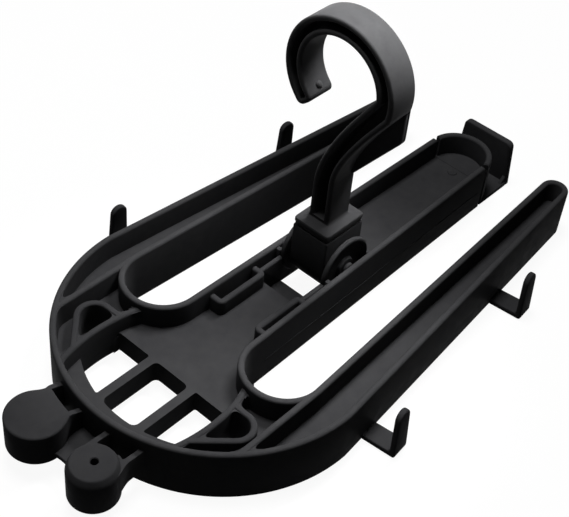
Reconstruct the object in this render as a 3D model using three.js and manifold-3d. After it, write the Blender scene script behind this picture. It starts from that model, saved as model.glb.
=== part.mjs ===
// A folding hanger for a drysuit hung upside down by its boots. Millimetres, +Z up.
// The ankles slide into two long slots, gloves hang on four pegs, and the hook turns and folds down
// into the frame. Y = 0 is the centre line of the round end until the last step, which moves the
// origin to the middle of the whole hanger's underside.
import * as THREE from 'three';
import { ConvexGeometry } from 'three/addons/geometries/ConvexGeometry.js';
import * as BufferGeometryUtils from 'three/addons/utils/BufferGeometryUtils.js';
import Module from 'manifold-3d';

const wasm = await Module();
wasm.setup();

// Driving sizes of the frame
const RIM_HEIGHT = 43.2;
const WALL = 5;
const FRAME_RADIUS = 120;
const ARM_LENGTH = 302;
const ARM_ROOT_WIDTH = 32.8;
const ARM_END_WIDTH = 22.8;
const SLOT_OUTER_END_X = 69.3;
const SPINE_HALF_WIDTH = 32.4;
const SPINE_END_HALF_WIDTH = 27.3;
const SPINE_LENGTH = 282;

// The deck that ties the walls together half way up
const DECK_TOP = 24;
const DECK_THICKNESS = 4;

// Ribs and the grille of the round end
const LOW_RIB_DROP = 5.2;
const RIB_BOTTOM = 6;
const SIDE_RIB_RADIUS = 125;
const SIDE_RIB_PEAK_X = 58;
const SIDE_RIB_PEAK_Y = -67;
const GRILLE_FAR_Y = -48;
const GRILLE_MARGIN = 20;
const GRILLE_BAR_X = 19.5;
const GRILLE_BAR_WIDTH = 7;
const GRILLE_SKIRT = 3;
const STRAP_HOLE_OFFSET_X = 11;
const STRAP_HOLE_OFFSET_Y = 9.8;
const STRAP_HOLE_RADIUS = 10;
const STRAP_HOLE_WALL = 4;

// Fold pivot
const PIVOT_Y = 110;
const PIVOT_DROP = 5.2;
const AXLE_RADIUS = 3;
const AXLE_DEPTH_IN_WALL = 3.2;
const BLOCK_HALF_DEPTH = 20.75;
const BLOCK_RISE = 32;
const CHEEK_RADIUS = 25.5;
const CHEEK_THICKNESS = 4;
const CHEEK_GAP = 1.5;
const CHEEK_SIDE_SPACE = 3.4;
const CHEEK_HUB_RADIUS = 9;
const SPACER_RADIUS = 5;
const GUIDE_PAD_LENGTH = 4;
const GUIDE_PAD_DROP = 2.2;

// Rails beside the hook's stem, and the sunk floor and well that its foot swings through
const RAIL_DROP = 6.2;
const RAIL_WIDTH = 5;
const STEM_RAIL_X = 17.7;
const STEM_RAIL_START_Y = 15.1;
const STEM_RAIL_SETBACK = 1;
const FOOT_RAIL_WIDTH = 4;
const FOOT_SIDE_ROOM = 2.2;
const FOOT_SWING_ROOM = 1.3;
const FOOT_DROP_ROOM = 4.25;
const WELL_BACK_ROOM = 4.5;

// End stop: cup, base and upright tab
const NOTCH = 3;
const SEAM = 0.3;
const BASE_THICKNESS = 4;
const BASE_HALF_WIDTH = 27;
const CUP_SETBACK = 1;
const TAB_DISTANCE = 39.5;
const TAB_THICKNESS = 6;
const TAB_FOOT_HALF_WIDTH = 27.2;
const TAB_TOP_HALF_WIDTH = 24.2;
const TAB_CORNER = 5;
const TONGUE_HALF_WIDTH = 12;
const TONGUE_THICKNESS = 3.7;
const TONGUE_REACH = 16;
const RIVET_SETBACK = 6;
const RIVET_RADIUS = 2.5;
const RIVET_HEAD_RADIUS = 4;
const RIVET_HEAD_HEIGHT = 0.8;
const RIVET_FLARE_HEIGHT = 2.2;

// Glove pegs
const PEG_PLACES_Y = [28, 202.9];
const PEG_REACH = 27;
const PEG_HEIGHT = 41.3;
const PEG_WIDTH = 16.4;
const PEG_TIP_WIDTH = 13.6;
const PEG_THICKNESS = 4.6;
const PEG_LEAN = 1.7;

// Bosses at the round end
const BOSS_X = 28;
const BOSS_REACH = 25;
const PLAIN_BOSS_RADIUS = 21.3;
const PLAIN_BOSS_BOTTOM = 12;
const PLAIN_BOSS_TOP = 37.7;
const PLAIN_BOSS_EDGE = 2;
const HOLED_BOSS_RADIUS = 18;
const HOLED_BOSS_BOTTOM = 8;
const HOLED_BOSS_TOP = 39;
const HOLED_BOSS_TOP_RADIUS = 14.2;
const HOLED_BOSS_CHAMFER_HEIGHT = 6;
const HOLED_BOSS_HOLE_RADIUS = 2.7;
const HOLED_BOSS_HOLE_SETBACK = 1.2;
const BOSS_RIB_OFFSET_X = 12.5;
const BOSS_RIB_WIDTH = 4;
const BOSS_RIB_BOTTOM = 14;
const BOSS_RIB_TOP = 31;
const BOSS_WEB_TOP = 18;
const BOSS_WEB_THICKNESS = 4;
const BOSS_WEB_REACH = 29;
const BOSS_WEB_HOLLOW = 2.5;

// Swivel under the hook
const STUD_RADIUS = 4;
const STUD_HEAD_RADIUS = 7;
const STUD_HEAD_HEIGHT = 4;
const STUD_TAIL = 1.6;
const PLATE_GAP = 0.3;
const WEAR_PLATE_THICKNESS = 2.4;
const CHAMBER_ROOF = 13;
const WASHER_THICKNESS = 1.2;
const WASHER_ROOM = 0.6;
const WASHER_EDGE = 0.5;
const NUT_CORNER_RADIUS = 7.5;
const NUT_HEIGHT = 6;
const NUT_SIDES = 6;

// Hook
const HOOK_WIDTH = 24;
const HOOK_WEB = 4;
const FLANGE = 4.5;
const LOOP_RISE = 124.1;
const LOOP_THROAT_RADIUS = 32.5;
const LOOP_BAND = 14.3;
const TIP_ANGLE = THREE.MathUtils.degToRad(222);
const OUTER_LEAVE_ANGLE = THREE.MathUtils.degToRad(-12);
const THROAT_LEAVE_ANGLE = THREE.MathUtils.degToRad(4);
const STEM_OUTER_X = 8;
const STEM_WIDTH = 18;
const STEM_OUTER_RISE = 38;
const STEM_THROAT_RISE = 31;
const OUTER_BEND_INSET = 7.5;
const OUTER_BEND_DROP = 20.5;
const OUTER_EASE = 24;
const THROAT_BEND_INSET = 6.5;
const THROAT_BEND_DROP = 9.5;
const THROAT_EASE = 35;
const FIN_INSET = 2;
const FIN_TOP_DROP = 12.5;
const FIN_CORNER_DROP = 38.5;
const FIN_CORNER_RADIUS = 4;
const FOOT_THICKNESS = 4.3;
const FOOT_SLOPE = 4;
const FOOT_EDGE = 1.5;

// Clearances and drawing steps
const RUNNING_FIT = 0.05;
const HEAD_FIT = 0.1;
const EASY_FIT = 0.3;
const FACE_GAP = 0.2;
const OVERRUN = 2;
const WIDE_ARC_STEPS = 48;
const ARC_STEPS = 20;
const CORNER_STEPS = 6;
const LOOP_STEPS = 36;
const ROUND_SIDES = 48;
const SMALL_SIDES = 32;
const CURVE_POINTS = 12;

// Sizes worked out from the ones above
const SLOT_OUTER_X = FRAME_RADIUS - ARM_ROOT_WIDTH;
const ARM_END_OUTER_X = SLOT_OUTER_END_X + ARM_END_WIDTH;
const SLOT_RADIUS = (SLOT_OUTER_X - SPINE_HALF_WIDTH) / 2;
const SLOT_CENTRE_X = (SLOT_OUTER_X + SPINE_HALF_WIDTH) / 2;
const armOuterX = (y) => FRAME_RADIUS + ((ARM_END_OUTER_X - FRAME_RADIUS) * y) / ARM_LENGTH;
const slotOuterX = (y) => SLOT_OUTER_X + ((SLOT_OUTER_END_X - SLOT_OUTER_X) * y) / ARM_LENGTH;
const spineX = (y) => SPINE_HALF_WIDTH
  + ((SPINE_END_HALF_WIDTH - SPINE_HALF_WIDTH) * y) / SPINE_LENGTH;
const DECK_BOTTOM = DECK_TOP - DECK_THICKNESS;
const LOW_RIB_TOP = RIM_HEIGHT - LOW_RIB_DROP;
const GRILLE_NEAR_RADIUS = FRAME_RADIUS - GRILLE_MARGIN;
const STRAP_HOLE_X = SIDE_RIB_PEAK_X + STRAP_HOLE_OFFSET_X;
const STRAP_HOLE_Y = SIDE_RIB_PEAK_Y + STRAP_HOLE_OFFSET_Y;
const PIVOT_Z = RIM_HEIGHT - PIVOT_DROP;
const PIVOT_WALL_X = spineX(PIVOT_Y) - WALL;
const CHEEK_INNER_X = PIVOT_WALL_X - CHEEK_SIDE_SPACE - CHEEK_THICKNESS;
const BLOCK_HALF_WIDTH = CHEEK_INNER_X - CHEEK_GAP;
const BLOCK_TOP = PIVOT_Z + BLOCK_RISE;
const FOOT_BOTTOM = BLOCK_TOP + PLATE_GAP + WEAR_PLATE_THICKNESS;
const FOOT_TOP = FOOT_BOTTOM + FOOT_THICKNESS;
const FOOT_SWING = Math.hypot(BLOCK_HALF_DEPTH, FOOT_TOP - PIVOT_Z);
const RAIL_TOP = RIM_HEIGHT - RAIL_DROP;
const SUNK_FLOOR_START_Y = PIVOT_Y - FOOT_SWING - FOOT_SWING_ROOM;
const SUNK_FLOOR_TOP = PIVOT_Z - BLOCK_HALF_DEPTH - FOOT_DROP_ROOM;
const STEM_RAIL_END_Y = SUNK_FLOOR_START_Y - STEM_RAIL_SETBACK;
const FOOT_RAIL_INNER_X = BLOCK_HALF_WIDTH + FOOT_SIDE_ROOM;
const WELL_START_Y = PIVOT_Y - CHEEK_RADIUS - EASY_FIT;
const WELL_END_Y = PIVOT_Y + CHEEK_RADIUS + WELL_BACK_ROOM;
const CUP_START_Y = SPINE_LENGTH + NOTCH;
const CUP_CENTRE_Y = SPINE_LENGTH - CUP_SETBACK;
const TAB_FRONT_Y = SPINE_LENGTH + TAB_DISTANCE;
const BOSS_Y = -FRAME_RADIUS - BOSS_REACH;
const CHAMBER_TOP = BLOCK_TOP - CHAMBER_ROOF;
const WASHER_TOP = CHAMBER_TOP - FACE_GAP;
const WASHER_RADIUS = NUT_CORNER_RADIUS + WASHER_EDGE;
const CHAMBER_RADIUS = WASHER_RADIUS + WASHER_ROOM;
const NUT_TOP = WASHER_TOP - WASHER_THICKNESS;
const STUD_END_Z = NUT_TOP - NUT_HEIGHT - STUD_TAIL;
const HOOK_NEAR_Y = PIVOT_Y - HOOK_WIDTH / 2;
const HOOK_FAR_Y = PIVOT_Y + HOOK_WIDTH / 2;
const LOOP_CENTRE_Z = FOOT_TOP + LOOP_RISE;
const LOOP_OUTER_RADIUS = LOOP_THROAT_RADIUS + LOOP_BAND;
const STEM_THROAT_X = STEM_OUTER_X - STEM_WIDTH;
const STEM_OUTER_TOP_Z = FOOT_TOP + STEM_OUTER_RISE;
const STEM_THROAT_TOP_Z = FOOT_TOP + STEM_THROAT_RISE;
const FIN_X = LOOP_OUTER_RADIUS - FIN_INSET;
const FIN_TOP_Z = LOOP_CENTRE_Z - FIN_TOP_DROP;
const FIN_CORNER_Z = LOOP_CENTRE_Z - FIN_CORNER_DROP;

const black = { color: 0x141415, roughness: 0.55, metalness: 0 };
const hookBlack = { color: 0x1b1b1c, roughness: 0.5, metalness: 0 };
const steel = { color: 0x9a9ca0, roughness: 0.35, metalness: 0.9 };

// A closed geometry as a solid that can be joined and cut.
function solid(geometry) {
  const bare = geometry.index ? geometry.toNonIndexed() : geometry.clone();
  bare.deleteAttribute('normal');
  bare.deleteAttribute('uv');
  const merged = BufferGeometryUtils.mergeVertices(bare);
  return new wasm.Manifold(new wasm.Mesh({
    numProp: 3,
    vertProperties: new Float32Array(merged.attributes.position.array),
    triVerts: new Uint32Array(merged.index.array),
  }));
}

// A solid back as a named mesh with its own material.
function part(name, body, finish) {
  const mesh = body.getMesh();
  const geometry = new THREE.BufferGeometry();
  geometry.setAttribute('position', new THREE.BufferAttribute(mesh.vertProperties, 3));
  geometry.setIndex(new THREE.BufferAttribute(mesh.triVerts, 1));
  geometry.computeVertexNormals();
  const result = new THREE.Mesh(geometry, new THREE.MeshStandardMaterial(finish));
  result.name = name;
  return result;
}

// An outline in plan, raised from one height to another.
function raised(shape, low, high, steps = ARC_STEPS) {
  const geometry = new THREE.ExtrudeGeometry(shape, {
    depth: high - low, bevelEnabled: false, curveSegments: steps,
  });
  return solid(geometry.translate(0, 0, low));
}

// An outline drawn across X and Z, carried from one Y to another.
function acrossY(shape, near, far, steps = ARC_STEPS) {
  const geometry = new THREE.ExtrudeGeometry(shape, {
    depth: far - near, bevelEnabled: false, curveSegments: steps,
  });
  const turn = new THREE.Matrix4().makeRotationX(Math.PI / 2);
  return solid(geometry.applyMatrix4(turn).translate(0, far, 0));
}

// An outline drawn across Y and Z, carried from one X to another.
function acrossX(shape, left, right, steps = ARC_STEPS) {
  const geometry = new THREE.ExtrudeGeometry(shape, {
    depth: right - left, bevelEnabled: false, curveSegments: steps,
  });
  const turn = new THREE.Matrix4().makeBasis(
    new THREE.Vector3(0, 1, 0), new THREE.Vector3(0, 0, 1), new THREE.Vector3(1, 0, 0));
  return solid(geometry.applyMatrix4(turn).translate(left, 0, 0));
}

function block(x0, x1, y0, y1, z0, z1) {
  const geometry = new THREE.BoxGeometry(x1 - x0, y1 - y0, z1 - z0);
  return solid(geometry.translate((x0 + x1) / 2, (y0 + y1) / 2, (z0 + z1) / 2));
}

// A round bar standing on Z. With outside = true its flats, not its corners, reach the radius.
function uprightRound(x, y, radius, low, high, outside = false, sides = SMALL_SIDES) {
  const reach = outside ? radius / Math.cos(Math.PI / sides) : radius;
  const geometry = new THREE.CylinderGeometry(reach, reach, high - low, sides);
  return solid(geometry.rotateX(Math.PI / 2).translate(x, y, (low + high) / 2));
}

// A round bar lying along X on the fold axis.
function pivotRound(radius, left, right, outside = false, sides = SMALL_SIDES) {
  const reach = outside ? radius / Math.cos(Math.PI / sides) : radius;
  const geometry = new THREE.CylinderGeometry(reach, reach, right - left, sides);
  return solid(geometry.rotateZ(Math.PI / 2).translate((left + right) / 2, PIVOT_Y, PIVOT_Z));
}

// A turned piece on Z, from pairs of radius and height that start and end on the axis.
function turned(x, y, pairs, sides = SMALL_SIDES) {
  const profile = pairs.map(([radius, height]) => new THREE.Vector2(radius, height));
  return solid(new THREE.LatheGeometry(profile, sides).rotateX(Math.PI / 2).translate(x, y, 0));
}

// The mirror image across the middle plane X = 0.
function mirrored(geometry) {
  const copy = geometry.clone().scale(-1, 1, 1);
  const index = copy.index.array;
  for (let i = 0; i < index.length; i += 3) [index[i], index[i + 1]] = [index[i + 1], index[i]];
  return copy;
}

function joined(bodies) {
  return bodies.reduce((sum, body) => sum.add(body));
}

// Outlines shared by the frame's four stretches

function armOutline(inset, startY) {
  const shape = new THREE.Shape();
  const middle = (ARM_END_OUTER_X + SLOT_OUTER_END_X) / 2;
  const radius = (ARM_END_OUTER_X - SLOT_OUTER_END_X) / 2 - inset;
  shape.moveTo(slotOuterX(startY) + inset, startY);
  shape.lineTo(armOuterX(startY) - inset, startY);
  shape.absarc(middle, ARM_LENGTH, radius, 0, Math.PI, false);
  return shape;
}

function spineOutline(inset, startY, endY) {
  const shape = new THREE.Shape();
  shape.moveTo(-spineX(startY) + inset, startY);
  shape.lineTo(spineX(startY) - inset, startY);
  shape.lineTo(spineX(endY) - inset, endY);
  shape.lineTo(-spineX(endY) + inset, endY);
  return shape;
}

function disc(x, y, radius) {
  const shape = new THREE.Shape();
  shape.absarc(x, y, radius, 0, 2 * Math.PI, false);
  return shape;
}

// The half of a ring that lies on the round end's side of Y = 0.
function halfRing(x, outer, inner, low, high) {
  const shape = new THREE.Shape();
  shape.absarc(x, 0, outer, Math.PI, 2 * Math.PI, false);
  shape.absarc(x, 0, inner, 2 * Math.PI, Math.PI, true);
  return raised(shape, low, high);
}

function halfDisc(radius, low, high) {
  const shape = new THREE.Shape();
  shape.absarc(0, 0, radius, Math.PI, 2 * Math.PI, false);
  return raised(shape, low, high);
}

// Both walls of an arm, its rounded end and the deck between them
function rightArm() {
  const outline = raised(armOutline(0, 0), 0, RIM_HEIGHT, CORNER_STEPS);
  const above = raised(armOutline(WALL, -OVERRUN), DECK_TOP, RIM_HEIGHT + OVERRUN, CORNER_STEPS);
  const below = raised(armOutline(WALL, -OVERRUN), -OVERRUN, DECK_BOTTOM, CORNER_STEPS);
  return outline.subtract(above).subtract(below);
}

// The strap hole's outline, D shaped with its straight side along the side rib
function strapHoleOutline(radius) {
  const diagonal = Math.SQRT1_2 * radius;
  const fall = STRAP_HOLE_X + diagonal - SIDE_RIB_PEAK_X;
  const shape = new THREE.Shape();
  shape.moveTo(SIDE_RIB_PEAK_X, STRAP_HOLE_Y - diagonal - fall);
  shape.lineTo(STRAP_HOLE_X + diagonal, STRAP_HOLE_Y - diagonal);
  shape.absarc(STRAP_HOLE_X, STRAP_HOLE_Y, radius, -Math.PI / 4, Math.PI / 2, false);
  shape.lineTo(SIDE_RIB_PEAK_X, STRAP_HOLE_Y + radius);
  return shape;
}

// One half's ribs: the curved side rib and the wall round the strap hole
function sideRibs(side) {
  const centreX = side * (SIDE_RIB_PEAK_X - SIDE_RIB_RADIUS);
  const ring = raised(disc(centreX, SIDE_RIB_PEAK_Y, SIDE_RIB_RADIUS + WALL / 2),
    RIB_BOTTOM, LOW_RIB_TOP, WIDE_ARC_STEPS)
    .subtract(raised(disc(centreX, SIDE_RIB_PEAK_Y, SIDE_RIB_RADIUS - WALL / 2),
      RIB_BOTTOM - OVERRUN, LOW_RIB_TOP + OVERRUN, WIDE_ARC_STEPS));
  const reach = block(...sorted(side * STEM_RAIL_X, side * SLOT_OUTER_X), -FRAME_RADIUS, 0,
    RIB_BOTTOM, LOW_RIB_TOP);
  return ring.intersect(reach);
}

function sorted(a, b) {
  return [Math.min(a, b), Math.max(a, b)];
}

function strapHole(side, radius, low, high) {
  const geometry = new THREE.ExtrudeGeometry(strapHoleOutline(radius), {
    depth: high - low, bevelEnabled: false, curveSegments: CORNER_STEPS,
  }).translate(0, 0, low);
  return solid(side > 0 ? geometry : mirrored(BufferGeometryUtils.mergeVertices(geometry)));
}

// The round end: outer wall, slot ends, ribs, deck and grille
function roundEnd() {
  const sides = [1, -1];
  const bowl = halfDisc(FRAME_RADIUS - WALL / 2, 0, RIM_HEIGHT);
  const slotHoles = sides.map((side) => uprightRound(side * SLOT_CENTRE_X, 0, SLOT_RADIUS + WALL / 2,
    -OVERRUN, RIM_HEIGHT + OVERRUN, false, ROUND_SIDES));
  const wideDisc = (x, y, radius) => raised(disc(x, y, radius), -OVERRUN, DECK_TOP + OVERRUN, WIDE_ARC_STEPS);
  const windowSpace = wideDisc(0, 0, GRILLE_NEAR_RADIUS)
    .intersect(block(-FRAME_RADIUS, FRAME_RADIUS, -FRAME_RADIUS, GRILLE_FAR_Y, -OVERRUN, DECK_TOP + OVERRUN))
    .intersect(wideDisc(SIDE_RIB_PEAK_X - SIDE_RIB_RADIUS, SIDE_RIB_PEAK_Y, SIDE_RIB_RADIUS))
    .intersect(wideDisc(SIDE_RIB_RADIUS - SIDE_RIB_PEAK_X, SIDE_RIB_PEAK_Y, SIDE_RIB_RADIUS));
  const skirtSpace = wideDisc(0, 0, GRILLE_NEAR_RADIUS + GRILLE_SKIRT)
    .intersect(block(-SIDE_RIB_PEAK_X, SIDE_RIB_PEAK_X, -FRAME_RADIUS, GRILLE_FAR_Y + GRILLE_SKIRT,
      RIB_BOTTOM, DECK_BOTTOM));
  const bars = sides.map((side) => block(side * GRILLE_BAR_X - GRILLE_BAR_WIDTH / 2,
    side * GRILLE_BAR_X + GRILLE_BAR_WIDTH / 2, -GRILLE_NEAR_RADIUS - GRILLE_SKIRT / 2,
    GRILLE_FAR_Y + GRILLE_SKIRT / 2, RIB_BOTTOM, DECK_TOP));
  let deck = halfDisc(FRAME_RADIUS - WALL / 2, DECK_BOTTOM, DECK_TOP).add(skirtSpace).subtract(windowSpace);
  deck = joined([deck, ...bars]);
  for (const side of sides) {
    deck = deck.add(strapHole(side, STRAP_HOLE_RADIUS + STRAP_HOLE_WALL, RIB_BOTTOM, LOW_RIB_TOP));
    deck = deck.subtract(strapHole(side, STRAP_HOLE_RADIUS, -OVERRUN, RIM_HEIGHT));
    deck = deck.add(sideRibs(side));
  }
  deck = deck.intersect(bowl);
  for (const hole of slotHoles) deck = deck.subtract(hole);
  const wall = halfRing(0, FRAME_RADIUS, FRAME_RADIUS - WALL, 0, RIM_HEIGHT);
  const slotEnds = sides.map((side) => halfRing(side * SLOT_CENTRE_X, SLOT_RADIUS + WALL, SLOT_RADIUS,
    0, RIM_HEIGHT));
  const armWallX = SLOT_OUTER_X + WALL / 2;
  const armWallReach = Math.sqrt((FRAME_RADIUS - WALL / 2) ** 2 - armWallX ** 2);
  const armWalls = sides.map((side) => block(...sorted(side * SLOT_OUTER_X, side * (SLOT_OUTER_X + WALL)),
    -armWallReach, 0, 0, RIM_HEIGHT));
  return joined([deck, wall, ...slotEnds, ...armWalls]);
}

// The spine: two walls, the deck, the rails, the sunk floor and the well under the pivot
function spine() {
  let body = raised(spineOutline(0, 0, SPINE_LENGTH), 0, RIM_HEIGHT);
  const cutEnd = SPINE_LENGTH + OVERRUN;
  body = body.subtract(raised(spineOutline(WALL, -OVERRUN, cutEnd), DECK_TOP, RIM_HEIGHT + OVERRUN));
  body = body.subtract(raised(spineOutline(WALL, -OVERRUN, cutEnd), -OVERRUN, DECK_BOTTOM));
  body = body.subtract(raised(spineOutline(WALL, WELL_START_Y, WELL_END_Y), -OVERRUN, DECK_TOP + OVERRUN));
  body = body.subtract(block(-FOOT_RAIL_INNER_X, FOOT_RAIL_INNER_X,
    SUNK_FLOOR_START_Y, WELL_START_Y + OVERRUN, -OVERRUN, DECK_TOP + OVERRUN));
  const sunkBottom = SUNK_FLOOR_TOP - DECK_THICKNESS;
  body = body.add(block(-FOOT_RAIL_INNER_X - FOOT_RAIL_WIDTH, FOOT_RAIL_INNER_X + FOOT_RAIL_WIDTH,
    SUNK_FLOOR_START_Y - DECK_THICKNESS, WELL_START_Y, sunkBottom, SUNK_FLOOR_TOP));
  body = body.add(block(-FOOT_RAIL_INNER_X, FOOT_RAIL_INNER_X,
    SUNK_FLOOR_START_Y - DECK_THICKNESS, SUNK_FLOOR_START_Y, sunkBottom, DECK_TOP));
  for (const side of [1, -1]) body = joined([body, rails(side, sunkBottom), ...guidePads(side)]);
  const boreEnd = PIVOT_WALL_X + AXLE_DEPTH_IN_WALL + EASY_FIT;
  body = body.subtract(pivotRound(AXLE_RADIUS + RUNNING_FIT, -boreEnd, boreEnd, true));
  const tongueEnd = SPINE_LENGTH - RIVET_SETBACK;
  return body.subtract(uprightRound(0, tongueEnd, RIVET_RADIUS + EASY_FIT, DECK_BOTTOM - OVERRUN,
    DECK_TOP + OVERRUN));
}

// One side's two pads, which guide the cheek's face just inside its edge
function guidePads(side) {
  const padX = CHEEK_INNER_X + CHEEK_THICKNESS + EASY_FIT;
  return [-1, 1].map((way) => {
    const outerY = PIVOT_Y + way * CHEEK_RADIUS;
    return block(...sorted(side * padX, side * (spineX(outerY) - WALL / 2)),
      ...sorted(outerY, outerY - way * GUIDE_PAD_LENGTH), DECK_TOP, RIM_HEIGHT - GUIDE_PAD_DROP);
  });
}

// One side's rail beside the stem, its two cross ribs and the rail beside the foot
function rails(side, sunkBottom) {
  const wallX = spineX(STEM_RAIL_END_Y) - WALL / 2;
  const innerX = STEM_RAIL_X - RAIL_WIDTH / 2;
  const stemRail = block(...sorted(side * innerX, side * (innerX + RAIL_WIDTH)),
    STEM_RAIL_START_Y, STEM_RAIL_END_Y, DECK_BOTTOM, RAIL_TOP);
  const crossRibs = [STEM_RAIL_START_Y, STEM_RAIL_END_Y - RAIL_WIDTH].map((start) => block(
    ...sorted(side * innerX, side * wallX), start, start + RAIL_WIDTH, DECK_BOTTOM, RAIL_TOP));
  const footRail = block(...sorted(side * FOOT_RAIL_INNER_X, side * (FOOT_RAIL_INNER_X + FOOT_RAIL_WIDTH)),
    STEM_RAIL_END_Y - RAIL_WIDTH, WELL_START_Y, sunkBottom, RAIL_TOP);
  return joined([stemRail, ...crossRibs, footRail]);
}

// The end stop: a cup that closes the trough, a base, an upright tab and a tongue under the deck
function endStop() {
  const outer = SPINE_END_HALF_WIDTH;
  const cupShape = new THREE.Shape();
  const startAngle = Math.asin((CUP_START_Y - CUP_CENTRE_Y) / outer);
  const innerAngle = Math.asin((CUP_START_Y - CUP_CENTRE_Y) / (outer - WALL));
  cupShape.absarc(0, CUP_CENTRE_Y, outer, startAngle, Math.PI - startAngle, false);
  cupShape.absarc(0, CUP_CENTRE_Y, outer - WALL, Math.PI - innerAngle, innerAngle, true);
  const floorStart = SPINE_LENGTH + SEAM;
  const floorShape = new THREE.Shape();
  const floorX = Math.cos(innerAngle) * (outer - WALL);
  floorShape.moveTo(floorX, floorStart);
  floorShape.absarc(0, CUP_CENTRE_Y, outer - WALL / 2, startAngle, Math.PI - startAngle, false);
  floorShape.lineTo(-floorX, floorStart);
  const tabEndY = TAB_FRONT_Y + TAB_THICKNESS;
  const tongue = block(-TONGUE_HALF_WIDTH, TONGUE_HALF_WIDTH, SPINE_LENGTH - TONGUE_REACH,
    CUP_START_Y + WALL, DECK_BOTTOM - SEAM - TONGUE_THICKNESS, DECK_BOTTOM - SEAM);
  const tongueStep = block(-TONGUE_HALF_WIDTH, TONGUE_HALF_WIDTH, floorStart, CUP_START_Y + WALL,
    DECK_BOTTOM - SEAM - TONGUE_THICKNESS, DECK_BOTTOM);
  const body = joined([
    raised(cupShape, 0, RIM_HEIGHT, ARC_STEPS),
    raised(floorShape, DECK_BOTTOM, DECK_TOP, ARC_STEPS),
    block(-BASE_HALF_WIDTH, BASE_HALF_WIDTH, CUP_START_Y, tabEndY, 0, BASE_THICKNESS),
    acrossY(tabOutline(), TAB_FRONT_Y, tabEndY, CORNER_STEPS),
    tongue,
    tongueStep,
  ]);
  return body.subtract(uprightRound(0, SPINE_LENGTH - RIVET_SETBACK, RIVET_RADIUS + EASY_FIT,
    DECK_BOTTOM - TONGUE_THICKNESS - OVERRUN, DECK_TOP));
}

function tabOutline() {
  const shape = new THREE.Shape();
  shape.moveTo(-TAB_FOOT_HALF_WIDTH, 0);
  shape.lineTo(TAB_FOOT_HALF_WIDTH, 0);
  shape.lineTo(TAB_TOP_HALF_WIDTH, RIM_HEIGHT - TAB_CORNER);
  shape.absarc(TAB_TOP_HALF_WIDTH - TAB_CORNER, RIM_HEIGHT - TAB_CORNER, TAB_CORNER, 0, Math.PI / 2, false);
  shape.absarc(TAB_CORNER - TAB_TOP_HALF_WIDTH, RIM_HEIGHT - TAB_CORNER, TAB_CORNER,
    Math.PI / 2, Math.PI, false);
  return shape;
}

// The snap rivet that holds the end stop's tongue under the spine's deck
function rivet() {
  const tongueBottom = DECK_BOTTOM - SEAM - TONGUE_THICKNESS;
  const flareTop = tongueBottom - SEAM;
  return turned(0, SPINE_LENGTH - RIVET_SETBACK, [
    [0, flareTop - RIVET_FLARE_HEIGHT],
    [RIVET_RADIUS, flareTop - RIVET_FLARE_HEIGHT],
    [RIVET_HEAD_RADIUS, flareTop],
    [RIVET_RADIUS, flareTop],
    [RIVET_RADIUS, DECK_TOP],
    [RIVET_HEAD_RADIUS, DECK_TOP],
    [RIVET_HEAD_RADIUS, DECK_TOP + RIVET_HEAD_HEIGHT],
    [0, DECK_TOP + RIVET_HEAD_HEIGHT],
  ]);
}

// A glove peg, drawn with the arm's wall at X = 0 and turned to stand square to that wall
function glovePeg(side, y) {
  const profile = new THREE.Shape();
  profile.moveTo(SEAM, 0);
  profile.lineTo(PEG_REACH, 0);
  profile.lineTo(PEG_REACH - PEG_LEAN, PEG_HEIGHT);
  profile.lineTo(PEG_REACH - PEG_LEAN - PEG_THICKNESS, PEG_HEIGHT);
  profile.lineTo(PEG_REACH - PEG_THICKNESS, PEG_THICKNESS);
  profile.lineTo(SEAM, PEG_THICKNESS);
  const front = new THREE.Shape();
  front.moveTo(-PEG_WIDTH / 2, 0);
  front.lineTo(PEG_WIDTH / 2, 0);
  front.lineTo(PEG_WIDTH / 2, PEG_THICKNESS);
  front.absarc(0, PEG_HEIGHT - PEG_TIP_WIDTH / 2, PEG_TIP_WIDTH / 2, 0, Math.PI, false);
  front.lineTo(-PEG_WIDTH / 2, PEG_THICKNESS);
  const body = acrossY(profile, -PEG_WIDTH / 2, PEG_WIDTH / 2)
    .intersect(acrossX(front, 0, PEG_REACH, CORNER_STEPS));
  const name = `glove_peg_${y === PEG_PLACES_Y[0] ? 'near' : 'far'}_${side > 0 ? 'right' : 'left'}`;
  const mesh = part(name, body, black);
  if (side < 0) mesh.geometry = mirrored(mesh.geometry);
  const slope = Math.atan2(FRAME_RADIUS - ARM_END_OUTER_X, ARM_LENGTH);
  const holder = new THREE.Group();
  holder.position.set(side * armOuterX(y), y, 0);
  holder.rotation.z = side * slope;
  return holder.add(mesh);
}

// The bosses' own ribs, from the boss back to the outer wall
function bossRibs(centreX) {
  const ribs = [-1, 1].map((way) => block(centreX + way * BOSS_RIB_OFFSET_X - BOSS_RIB_WIDTH / 2,
    centreX + way * BOSS_RIB_OFFSET_X + BOSS_RIB_WIDTH / 2, BOSS_Y, 0, BOSS_RIB_BOTTOM, BOSS_RIB_TOP));
  const frameRound = uprightRound(0, 0, FRAME_RADIUS + SEAM, BOSS_RIB_BOTTOM - OVERRUN,
    BOSS_RIB_TOP + OVERRUN, true, 2 * ROUND_SIDES);
  return joined(ribs).subtract(frameRound);
}

function plainBoss() {
  return turned(-BOSS_X, BOSS_Y, [
    [0, PLAIN_BOSS_BOTTOM],
    [PLAIN_BOSS_RADIUS, PLAIN_BOSS_BOTTOM],
    [PLAIN_BOSS_RADIUS, PLAIN_BOSS_TOP - PLAIN_BOSS_EDGE],
    [PLAIN_BOSS_RADIUS - PLAIN_BOSS_EDGE, PLAIN_BOSS_TOP],
    [0, PLAIN_BOSS_TOP],
  ], ROUND_SIDES).add(bossRibs(-BOSS_X));
}

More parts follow.
